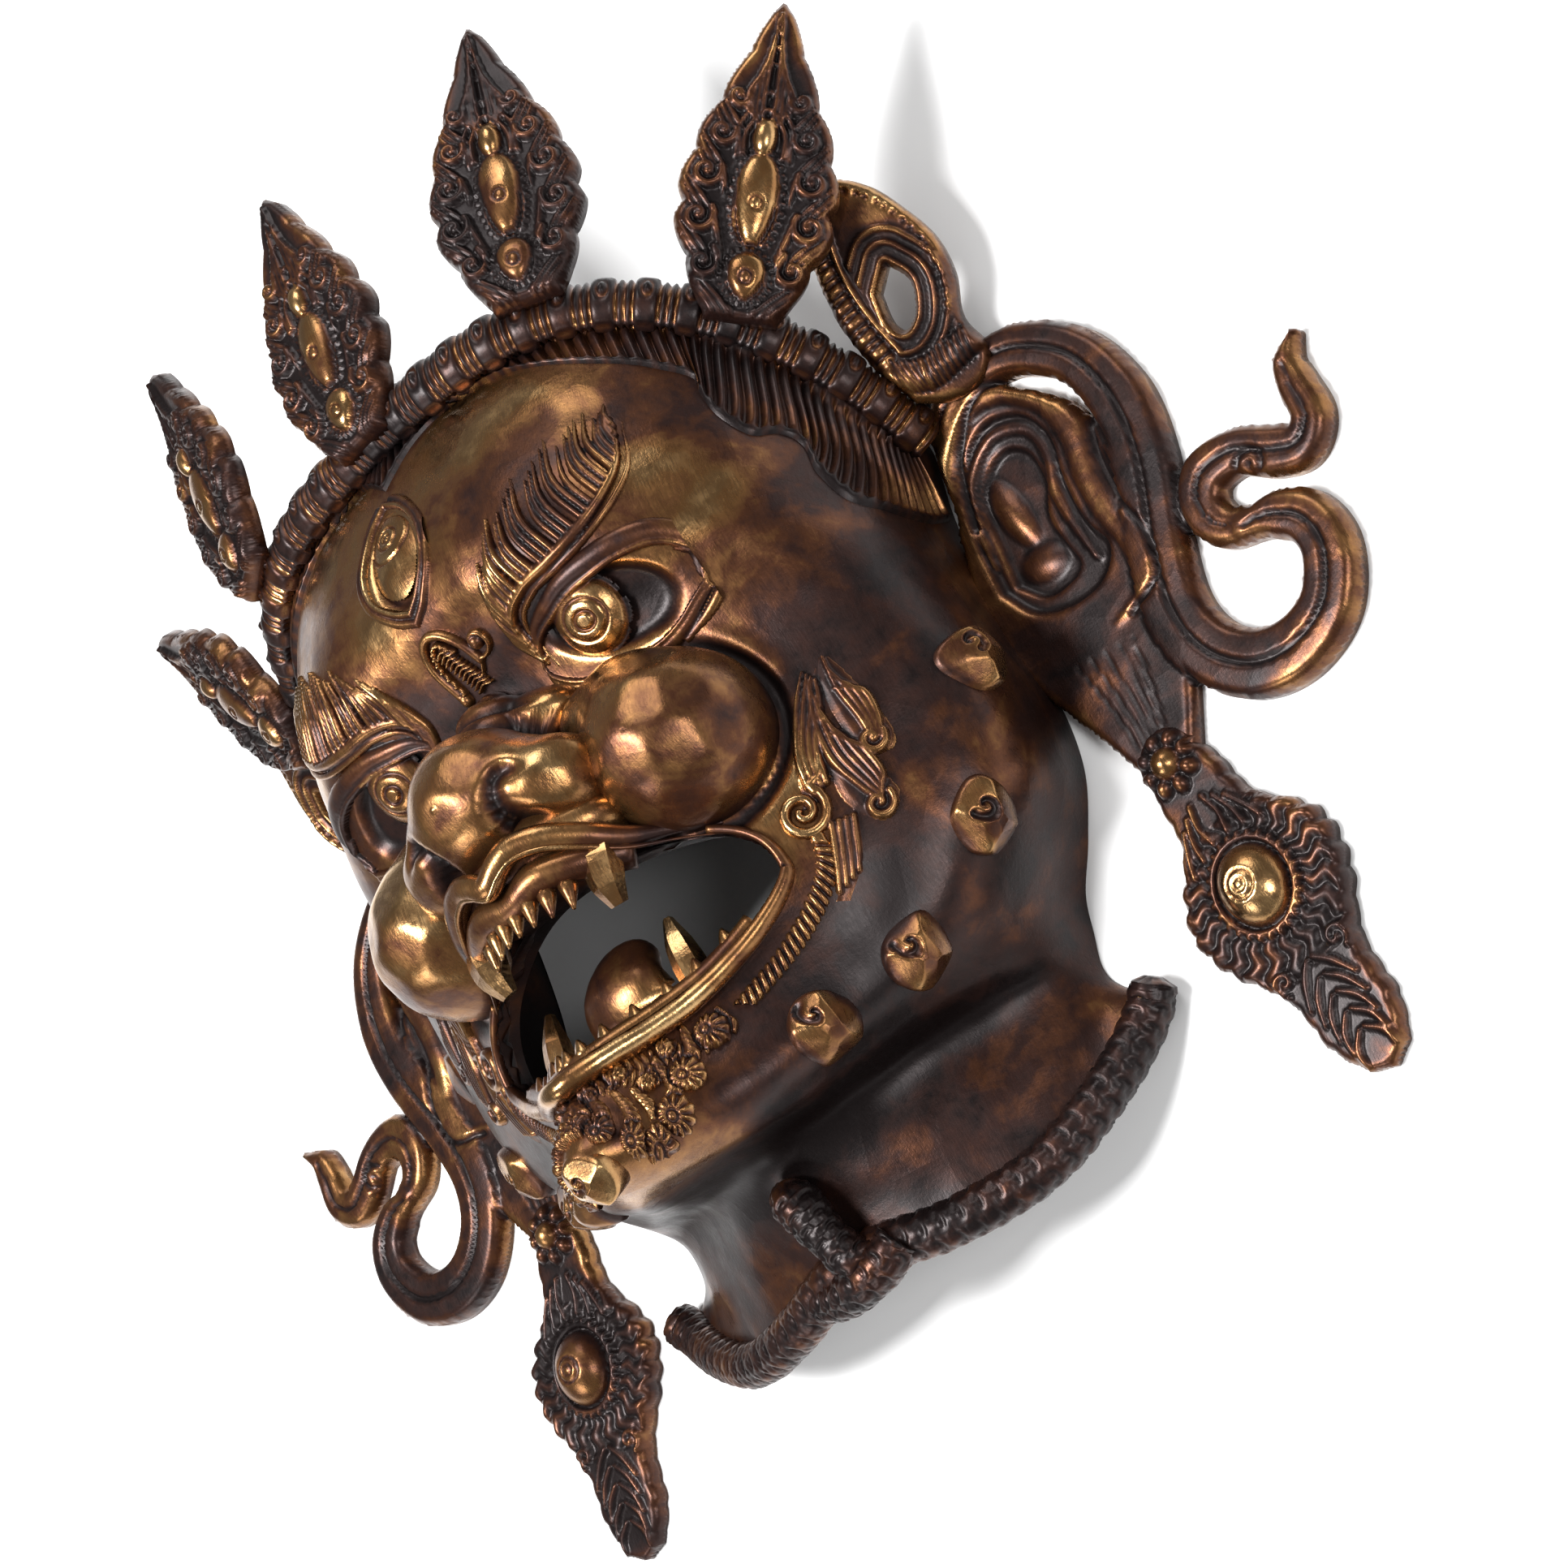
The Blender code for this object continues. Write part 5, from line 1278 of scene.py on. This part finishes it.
def buildStud(u, v, turn, seed, scale=1.0, seat=None):
    pad = padAt(u, v)
    rings, spokes = 30, 56
    theta, phi = np.meshgrid(np.linspace(0, 2 * math.pi, spokes, endpoint=False),
        np.linspace(0.0, 1.0, rings))
    tail = 1 + 0.28 * np.exp(-((np.angle(np.exp(1j * (theta - turn)))) / 0.5) ** 2)
    r = studSettings["radius"] * scale * phi * tail
    h = studSettings["height"] * scale * np.sqrt(np.maximum(1 - phi ** 2.4, 0)) - 1.2
    generator = np.random.default_rng(seed)
    facets = unit(np.stack([generator.uniform(-0.8, 0.8, 9), generator.uniform(-0.8, 0.8, 9),
            np.full(9, 1.0)], -1))
    local = np.stack([r * np.cos(theta), r * np.sin(theta), h], -1)
    for facet in facets:
        over = local @ facet - studSettings["radius"] * scale * 0.70
        local = local - facet * (np.maximum(over, 0) * 0.95)[..., None]
    a, b = local[..., 0], local[..., 1]
    groovePath = spiral(-2.5 * scale, 3.0 * scale, 3.2 * scale, 0.75, turn + 2.2)
    cut = np.zeros(a.shape)
    groove(cut, a, b, groovePath, [1.3, 1.1, 0.7], 1.5)
    local[..., 2] += cut
    if seat:
        local[..., 2] -= seat["skirt"] * smoothStep(0.9, 1.0, phi)
        out = unit(np.array(seat["out"], float))
        right = unit(np.cross((0, 1, 0), out))
        turned = a[..., None] * right + b[..., None] * np.cross(out, right) + local[..., 2:] * out
        places = turned + seat["place"]
    else:
        base, baseNormal, _, _ = headAt(*spotsOn(pad, a, b))
        places = base + baseNormal * local[..., 2:]
    return places.reshape(-1, 3), gridFaces(rings, spokes, True).tolist()


studTint = 0.07 - 0.3 * smoothStep(0.8, 1.0, np.repeat(np.linspace(0, 1, 30), 56))
for k, (u, v, turn) in enumerate(studSpots):
    places, faces = buildStud(u, v, turn, 20 + k)
    addBoth("jawStud%d" % k, places, faces, studTint)
places, faces = buildStud(*studSettings["chinSpot"], 1.6, 31, 0.83, studSettings["chinSeat"])
addPiece("chinStud", places, faces, tint=studTint)
print("studs")

# Mouth corner: spiral with flame tufts above, two lobes beside it and strands below
cornerPad = padAt(1.85, 6.85)


def drawCorner(a, b):
    height = np.full(a.shape, -2.0)

    def line(spots, width, rise, base=-0.3):
        ridge(height, a, b, curve(flatSpots(cornerPad, spots), 8), np.array(width) * 1.35, rise, base,
            flat=0.8)

    for body, rise in (([(1.66, 7.0), (1.64, 6.5), (1.86, 5.98), (1.84, 6.5), (1.8, 6.9)], 0.7),
        ([(1.8, 6.15), (1.92, 5.95), (2.2, 6.5), (2.24, 6.75), (2.0, 6.7)], 0.8),
        ([(1.78, 6.3), (2.0, 6.7), (2.26, 7.1), (2.16, 7.3), (1.86, 6.95)], 0.8),
        ([(1.8, 7.1), (2.0, 7.2), (2.1, 7.6), (1.9, 7.85), (1.84, 7.4)], 0.4)):
        flat = flatSpots(cornerPad, body)
        outline = curve(np.concatenate([flat, flat[:1]]), 6)
        pillow = rise * smoothStep(0, 3.0, nearest(a, b, outline)[0])
        height = np.where(insidePath(a, b, outline), np.maximum(height, pillow), height)
    centre = flatSpots(cornerPad, [(1.66, 7.0)])[0]
    ridge(height, a, b, spiral(centre[0], centre[1], 6.8, 1.7, 1.2, -1,
            tail=[(centre[0] + 5, centre[1] + 14), (centre[0] + 4.5, centre[1] + 9)]),
        [1.0, 1.5, 1.6, 1.4, 1.1], 2.4, -0.3)
    for k in range(4):
        s = 0.035 * k
        line([(1.70 + s, 6.85), (1.66 + s, 6.6), (1.69 + s * 1.2, 6.3), (1.76 + s * 0.6, 6.05 + 0.03 * k)],
            [0.8, 1.1, 0.9, 0.4], 2.2)
    for k in range(5):
        s = 0.05 * k
        line([(1.78 + 0.01 * k, 6.12 + 0.10 * k), (1.78 + s, 6.45 + 0.05 * k), (1.85 + s, 6.72),
                (2.02 + s * 0.6, 6.98 - 0.02 * k), (2.14, 7.12 - 0.03 * k)], [0.4, 1.0, 1.1, 1.0, 0.7], 2.3)
    for k in range(4):
        s = 0.05 * k
        line([(1.90 + 0.005 * k, 5.98 + 0.09 * k), (1.94 + s, 6.25 + 0.02 * k), (2.05 + s * 0.7, 6.5),
                (2.1 + s * 0.4, 6.66)], [0.4, 1.0, 1.1, 0.8], 2.2)
    for u, v, r, start, hand in ((2.1, 6.66, 3.6, 0.6, -1), (2.12, 7.13, 4.0, 0.8, -1)):
        c = flatSpots(cornerPad, [(u, v)])[0]
        ridge(height, a, b, spiral(c[0], c[1], r, 1.2, start, hand), [1.2, 1.3, 1.0], 2.4, -0.2)
    for k in range(4):
        s = 0.045 * k
        line([(1.82 + s, 7.15), (1.86 + s, 7.4), (1.9 + s * 0.9, 7.66 - 0.03 * k)], [0.9, 1.0, 0.7], 1.9)
    return height, 0.03


addPad("mouthCorner", cornerPad, (-20, -30), (26, 32), 0.42, drawCorner)

# Beard: a rope-ribbed strip along the mouth edge, then fronds with ribbed spiral ends below the lip
ropePad = padAt(1.6, 7.65)


def ribbedLine(height, a, b, path, width, rise, pitch, base=-0.3, slant=0.5, depth=0.9):
    d, along = nearest(a, b, path)
    rim = np.abs(d - spread(width, along) * 1.12) < 0.32
    height[rim] = np.minimum(height[rim], 0.1)
    ridge(height, a, b, path, width, rise, base, flat=0.4)
    length = np.concatenate([[0], np.cumsum(np.linalg.norm(np.diff(path, axis=0), axis=1))])
    for s in np.arange(pitch, length[-1], pitch):
        p = np.array([np.interp(s, length, path[:, k]) for k in range(2)])
        q = np.array([np.interp(min(s + 0.3, length[-1]), length, path[:, k]) for k in range(2)])
        t = (q - p) / max(np.linalg.norm(q - p), 1e-6)
        w = spread(width, s / length[-1])
        off = (np.array([-t[1], t[0]]) + slant * t) * w * 0.95
        groove(height, a, b, np.array([p - off, p + off]), pitch * 0.27, depth)


def drawRope(a, b):
    height = np.full(a.shape, -2.0)
    path = curve(flatSpots(ropePad, [(1.74, 7.2), (1.8, 7.42), (1.74, 7.66), (1.55, 7.88), (1.3, 8.02),
            (1.1, 8.12)]), 10)
    ribbedLine(height, a, b, path, [2.0, 2.9, 3.0, 2.8, 2.6, 2.2], 1.8, 2.3, depth=1.2)
    return height, 0.0


addPad("beardRope", ropePad, (-34, -22), (18, 22), 0.4, drawRope)
frondPad = padAt(0.6, 8.55)


# a round curl with ribs fanning out from its eye, which is off centre
def fanCurl(height, a, b, centre, radius, aim):
    share = np.hypot(a - centre[0], b - centre[1]) / radius
    eye = 0.36 * radius * np.array([math.cos(aim + 2.2), math.sin(aim + 2.2)])
    dx, dy = a - centre[0] - eye[0], b - centre[1] - eye[1]
    reach = np.hypot(dx, dy) / radius
    ribs = 0.6 * np.cos(np.arctan2(dy, dx) * 13) * smoothStep(0.36, 0.55, reach)
    top = 1.9 * np.sqrt(np.maximum(1 - (share * 0.97) ** 4, 0)) + ribs
    top = top - 0.8 * np.exp(-((reach - 0.27) / 0.08) ** 2)
    rim = (share > 1) & (share < 1.14)
    height[rim] = np.minimum(height[rim], 0.0)
    height[share <= 1] = top[share <= 1]


def drawFronds(a, b):
    height = np.full(a.shape, -2.0)
    fronds = [((0.62, 7.98), (0.68, 8.08), 2.4), ((0.4, 8.02), (0.36, 8.12), 3.0),
        ((0.6, 8.2), (0.56, 8.34), 2.4), ((0.2, 8.1), (0.16, 8.2), 2.4), ((0.0, 8.2), (0.1, 8.5), 3.2),
        ((0.18, 8.24), (0.28, 8.7), 3.6), ((0.36, 8.3), (0.45, 9.0), 3.6),
        ((0.48, 8.35), (0.55, 9.28), 4.2), ((0.62, 8.15), (0.7, 8.88), 4.6),
        ((0.8, 7.98), (0.8, 8.43), 4.6), ((1.04, 7.98), (0.98, 8.12), 4.4)]
    for k in range(22):
        top, end = flatSpots(frondPad, [(0.04 + 0.05 * k, 8.05), (0.08 + 0.05 * k, 8.24 + 0.02 * (k % 3))])
        ridge(height, a, b, curve([top, (top + end) / 2 + (0.8, 0), end], 5), [0.8, 1.1, 0.6], 1.2, -0.3)
    for foot, centre, radius in fronds:
        flat = flatSpots(frondPad, [foot, centre])
        middle = flat.mean(0) + (1.6, 0)
        ribbedLine(height, a, b, curve([flat[0], middle, flat[1]], 10), [1.2, 1.8, 2.2, 2.4],
            [1.2, 1.7, 1.9, 1.8], 1.7, depth=0.5, slant=0.9)
        fanCurl(height, a, b, flat[1], radius, math.atan2(*(middle - flat[1])[::-1]))
    return height, -0.09


addNetPad("beardFronds", frondPad, (0.0, 1.4), (7.95, 9.5), 0.36, drawFronds)
print("beard")

# Collar: a snake round the lower edge, tail end blunt, head rising over the knot
collarSettings = dict(radius=6.3, scalePitch=5.2)


def scaledTube(path, radii, steps, spokes, pitch, bands=3, seed=0):
    path = through(path, steps)
    radii = spread(radii, np.linspace(0, 1, steps))
    tangent = unit(np.gradient(path, axis=0))
    side = unit(np.cross(tangent, front + 0 * tangent))
    out = np.cross(side, tangent)
    length = np.concatenate([[0], np.cumsum(np.linalg.norm(np.diff(path, axis=0), axis=1))])[:, None]
    turn = np.linspace(0, 2 * math.pi, spokes, endpoint=False)[None]
    across = turn / (2 * math.pi) * 2 * bands
    row = length / pitch
    cell = (row + 0.5 * (np.floor(across) % 2)) % 1.0
    d = np.hypot((across % 1.0 - 0.5) * 1.5, cell - 0.15)
    line, inner = np.exp(-((d - 0.62) / 0.11) ** 2), np.exp(-((d - 0.36) / 0.08) ** 2)
    grain = np.stack(np.broadcast_arrays(length, turn * 6, 0 * length), -1)
    radius = radii[:, None] - 0.75 * line - 0.35 * inner + 0.15 * valueNoise(grain, 3.0, seed + 9)
    aside = side[:, None] * (np.cos(turn) * radius)[..., None]
    rings = path[:, None] + aside + out[:, None] * (np.sin(turn) * radius)[..., None]
    places = np.concatenate([rings.reshape(-1, 3), path[:1], path[-1:]])
    faces = gridFaces(steps, spokes, True).tolist()
    last = (steps - 1) * spokes
    for k in range(spokes):
        n = (k + 1) % spokes
        faces.append([steps * spokes, k, n])
        faces.append([steps * spokes + 1, last + n, last + k])
    tone = (0.24 - 0.4 * line - 0.18 * inner + 0 * radius).ravel()
    return places, [f[::-1] for f in faces], np.append(tone, [0, 0])


edge = []
for side, shares in ((-1, np.linspace(1, 0.12, 14)), (1, np.linspace(0.0, 1, 15))):
    for s in shares:
        place, normal, _, _ = headAt(side * s * 4, 13.0)
        place = place + normal * 0.8
        place[2] = max(place[2], collarSettings["radius"] * 0.99)
        edge.append(place)
edge = [2 * edge[0] - edge[1]] + edge + [2 * edge[-1] - edge[-2]]
edge[0], edge[-1] = edge[1] + unit(edge[0] - edge[1]) * 3.5, edge[-2] + unit(edge[-1] - edge[-2]) * 3.5
ends = roundEnds(60, 0.03, 0.4) * collarSettings["radius"]
places, faces, tone = scaledTube(edge, ends, 520, 36, collarSettings["scalePitch"])
addPiece("snakeBody", places, faces, tint=tone + 0.06 - 0.14 * smoothStep(40, 85, places[:, 0]))
neck = [(10, -160, 40), (5, -156, 48), (2.5, -148, 52), (1, -141, 54), (-1, -135, 55), (-2.5, -131, 54)]
places, faces, tone = scaledTube(neck, [5.5, 6.2, 6.0, 5.6, 6.2, 6.6, 6.4, 4.5, 1.5], 150, 40, 4.4, seed=3)
addPiece("snakeNeck", places, faces, tint=tone + 0.02 + 0.16 * smoothStep(-138, -131, places[:, 1]))
tail = [(-20, -156, 40), (-8, -160.5, 43), (2, -161.5, 46), (12, -160, 46), (17, -157, 45)]
places, faces, tone = scaledTube(tail, [5.6, 6.0, 6.2, 6.2, 5.8], 130, 40, 4.8, seed=5)
addPiece("snakeTail", places, faces, tint=tone + 0.06)
print("collar")

# Patinated bronze: near black in the hollows, red-brown between, rubbed gold on the high places
bronzeSettings = dict(
    colours=[(0.24, (0.010, 0.006, 0.006)), (0.42, (0.030, 0.012, 0.009)), (0.56, (0.088, 0.032, 0.014)),
             (0.72, (0.235, 0.113, 0.040)), (1.0, (0.55, 0.345, 0.155))],
    clouds=30.0, cloudShare=1.15, mottling=140.0, mottlingShare=0.4, specks=900.0, speckShare=0.05,
    roughHollow=0.40, roughHigh=0.24, pits=0.00006, hammered=0.0005, scratches=0.00003)


def addNode(tree, kind, **inputs):
    node = tree.nodes.new(kind)
    for key, value in inputs.items():
        if isinstance(value, bpy.types.NodeSocket):
            tree.links.new(value, node.inputs[key.replace("_", " ")])
        elif key in ("operation", "data_type", "attribute_name", "noise_dimensions", "feature"):
            setattr(node, key, value)
        else:
            node.inputs[key.replace("_", " ")].default_value = value
    return node


def mathNode(tree, operation, a, b=0.0, c=0.0, clamp=False):
    node = tree.nodes.new("ShaderNodeMath")
    node.operation, node.use_clamp = operation, clamp
    for k, value in enumerate((a, b, c)):
        if isinstance(value, bpy.types.NodeSocket):
            tree.links.new(value, node.inputs[k])
        else:
            node.inputs[k].default_value = value
    return node.outputs[0]


def patinaGroup(settings):
    group = bpy.data.node_groups.new("bronzePatina", 'ShaderNodeTree')
    for name, kind in (("Place", 'NodeSocketVector'), ("Relief", 'NodeSocketFloat'),
        ("Bulge", 'NodeSocketFloat'), ("Wear", 'NodeSocketFloat')):
        group.interface.new_socket(name, in_out='INPUT', socket_type=kind)
    for name, kind in (("Colour", 'NodeSocketColor'), ("Metal", 'NodeSocketFloat'),
        ("Roughness", 'NodeSocketFloat'), ("Height", 'NodeSocketFloat')):
        group.interface.new_socket(name, in_out='OUTPUT', socket_type=kind)
    source, target = group.nodes.new("NodeGroupInput"), group.nodes.new("NodeGroupOutput")
    place = source.outputs["Place"]
    clouds = addNode(group, "ShaderNodeTexNoise", Vector=place, Scale=settings["clouds"], Detail=4.0,
        Roughness=0.55, Distortion=0.6)
    mottling = addNode(group, "ShaderNodeTexNoise", Vector=place, Scale=settings["mottling"], Detail=4.0,
        Roughness=0.6, Distortion=0.4)
    specks = addNode(group, "ShaderNodeTexNoise", Vector=place, Scale=settings["specks"], Detail=2.0,
        Roughness=0.7)
    cells = addNode(group, "ShaderNodeTexVoronoi", Vector=place, Scale=75.0, Randomness=1.0)
    brushed = addNode(group, "ShaderNodeMapping", Vector=place, Scale=(2600.0, 240.0, 900.0),
        Rotation=(0.3, 0.5, 0.7))
    scratches = addNode(group, "ShaderNodeTexNoise", Vector=brushed.outputs[0], Scale=1.0, Detail=2.0,
        Roughness=0.6)
    mask = mathNode(group, 'MULTIPLY_ADD', source.outputs["Bulge"], 0.5, source.outputs["Relief"])
    mask = mathNode(group, 'ADD', mask, source.outputs["Wear"])
    for texture, share in ((clouds, "cloudShare"), (mottling, "mottlingShare"), (specks, "speckShare")):
        centred = mathNode(group, 'SUBTRACT', texture.outputs["Fac"], 0.5)
        mask = mathNode(group, 'MULTIPLY_ADD', centred, settings[share], mask)
    ramp = group.nodes.new("ShaderNodeValToRGB")
    group.links.new(mask, ramp.inputs["Fac"])
    stops = ramp.color_ramp.elements
    while len(stops) < len(settings["colours"]):
        stops.new(0.5)
    for stop, (position, colour) in zip(stops, settings["colours"]):
        stop.position, stop.color = position, (*colour, 1)
    group.links.new(ramp.outputs["Color"], target.inputs["Colour"])
    polish = addNode(group, "ShaderNodeMapRange", Value=mask)
    for key, value in (("From Min", 0.35), ("From Max", 0.8), ("To Min", 0.0), ("To Max", 1.0)):
        polish.inputs[key].default_value = value
    group.links.new(mathNode(group, 'MULTIPLY_ADD', polish.outputs[0], 0.4, 0.6), target.inputs["Metal"])
    gain = settings["roughHigh"] - settings["roughHollow"]
    rough = mathNode(group, 'MULTIPLY_ADD', polish.outputs[0], gain, settings["roughHollow"])
    uneven = mathNode(group, 'SUBTRACT', mottling.outputs["Fac"], 0.5)
    rough = mathNode(group, 'MULTIPLY_ADD', uneven, 0.35, rough)
    lines = mathNode(group, 'SUBTRACT', scratches.outputs["Fac"], 0.5)
    rough = mathNode(group, 'MULTIPLY_ADD', lines, 0.25, rough, clamp=True)
    group.links.new(rough, target.inputs["Roughness"])
    pits = mathNode(group, 'LESS_THAN', specks.outputs["Fac"], 0.33)
    height = mathNode(group, 'MULTIPLY', pits, -settings["pits"])
    height = mathNode(group, 'MULTIPLY_ADD', cells.outputs["Distance"], settings["hammered"], height)
    height = mathNode(group, 'MULTIPLY_ADD', specks.outputs["Fac"], settings["pits"], height)
    height = mathNode(group, 'MULTIPLY_ADD', scratches.outputs["Fac"], settings["scratches"], height)
    group.links.new(height, target.inputs["Height"])
    return group


def makeBronze(name, group, wear=0.0):
    material = bpy.data.materials.new(name)
    material.use_nodes = True
    tree = material.node_tree
    shader = tree.nodes["Principled BSDF"]
    relief = addNode(tree, "ShaderNodeAttribute", attribute_name="relief")
    bulge = addNode(tree, "ShaderNodeAttribute", attribute_name="bulge")
    place = tree.nodes.new("ShaderNodeTexCoord")
    patina = tree.nodes.new("ShaderNodeGroup")
    patina.node_tree = group
    patina.inputs["Wear"].default_value = wear
    tree.links.new(place.outputs["Object"], patina.inputs["Place"])
    tree.links.new(relief.outputs["Fac"], patina.inputs["Relief"])
    tree.links.new(bulge.outputs["Fac"], patina.inputs["Bulge"])
    tree.links.new(patina.outputs["Colour"], shader.inputs["Base Color"])
    tree.links.new(patina.outputs["Metal"], shader.inputs["Metallic"])
    tree.links.new(patina.outputs["Roughness"], shader.inputs["Roughness"])
    bump = addNode(tree, "ShaderNodeBump", Strength=1.0, Distance=1.0, Height=patina.outputs["Height"])
    tree.links.new(bump.outputs["Normal"], shader.inputs["Normal"])
    shader.inputs["Coat Weight"].default_value = 0.12  # wax and handling
    shader.inputs["Coat Roughness"].default_value = 0.3
    shader.inputs["Specular IOR Level"].default_value = 0.3
    return material


bronze = makeBronze("patinatedBronze", patinaGroup(bronzeSettings))
pieces = [o for o in bpy.context.scene.objects if o.type == 'MESH' and "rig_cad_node" not in o]
for piece in pieces:
    piece.data.materials.clear()
    piece.data.materials.append(bronze)
    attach(piece, "root")
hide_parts("mask")

# Floor, lights and camera
floorMaterial = bpy.data.materials.new("paleFloor")
floorMaterial.use_nodes = True
floorMaterial.node_tree.nodes["Principled BSDF"].inputs["Base Color"].default_value = (0.86, 0.86, 0.86, 1)
floorMaterial.node_tree.nodes["Principled BSDF"].inputs["Roughness"].default_value = 0.7
bpy.ops.mesh.primitive_plane_add(size=30, location=(0, 0, -0.0002))
floor = bpy.context.object
floor.name = "floor"
floor.data.materials.append(floorMaterial)

lightSettings = dict(
    key=dict(place=(-0.25, -0.05, 1.25), size=0.4, power=27),
    fill=dict(place=(1.2, -0.6, 0.9), size=0.5, power=11),
    low=dict(place=(-0.7, -1.0, 0.8), size=0.5, power=6),
    top=dict(place=(0.5, 1.1, 1.0), size=0.7, power=9),
)
for name, light in lightSettings.items():
    data = bpy.data.lights.new(name, 'AREA')
    data.size, data.energy = light["size"], light["power"]
    lamp = bpy.data.objects.new(name, data)
    lamp.location = light["place"]
    lamp.rotation_euler = (-Vector(light["place"])).to_track_quat('-Z', 'Y').to_euler()
    bpy.context.scene.collection.objects.link(lamp)
world = bpy.data.worlds.new("studio")
world.use_nodes = True
world.node_tree.nodes["Background"].inputs["Color"].default_value = (1, 1, 1, 1)
world.node_tree.nodes["Background"].inputs["Strength"].default_value = 0.24
bpy.context.scene.world = world
bpy.context.scene.view_settings.view_transform = 'Standard'

cameraSettings = dict(place=(476.94, -363.23, 674.80), right=(0.6561, -0.3843, -0.6495),
    up=(0.5441, 0.8372, 0.0544), back=(0.5229, -0.3891, 0.7584), lens=4000 / 1932 * 36)
data = bpy.data.cameras.new("photoCamera")
data.lens, data.sensor_width = cameraSettings["lens"], 36
data.clip_start = 0.01
camera = bpy.data.objects.new("photoCamera", data)
turn = Matrix([cameraSettings[k] for k in ("right", "up", "back")]).transposed()
place = (Vector(cameraSettings["place"]) - Vector((0, outlineMiddle, 0))) * mm
camera.matrix_world = Matrix.Translation(place) @ turn.to_4x4()
bpy.context.scene.collection.objects.link(camera)
bpy.context.scene.camera = camera
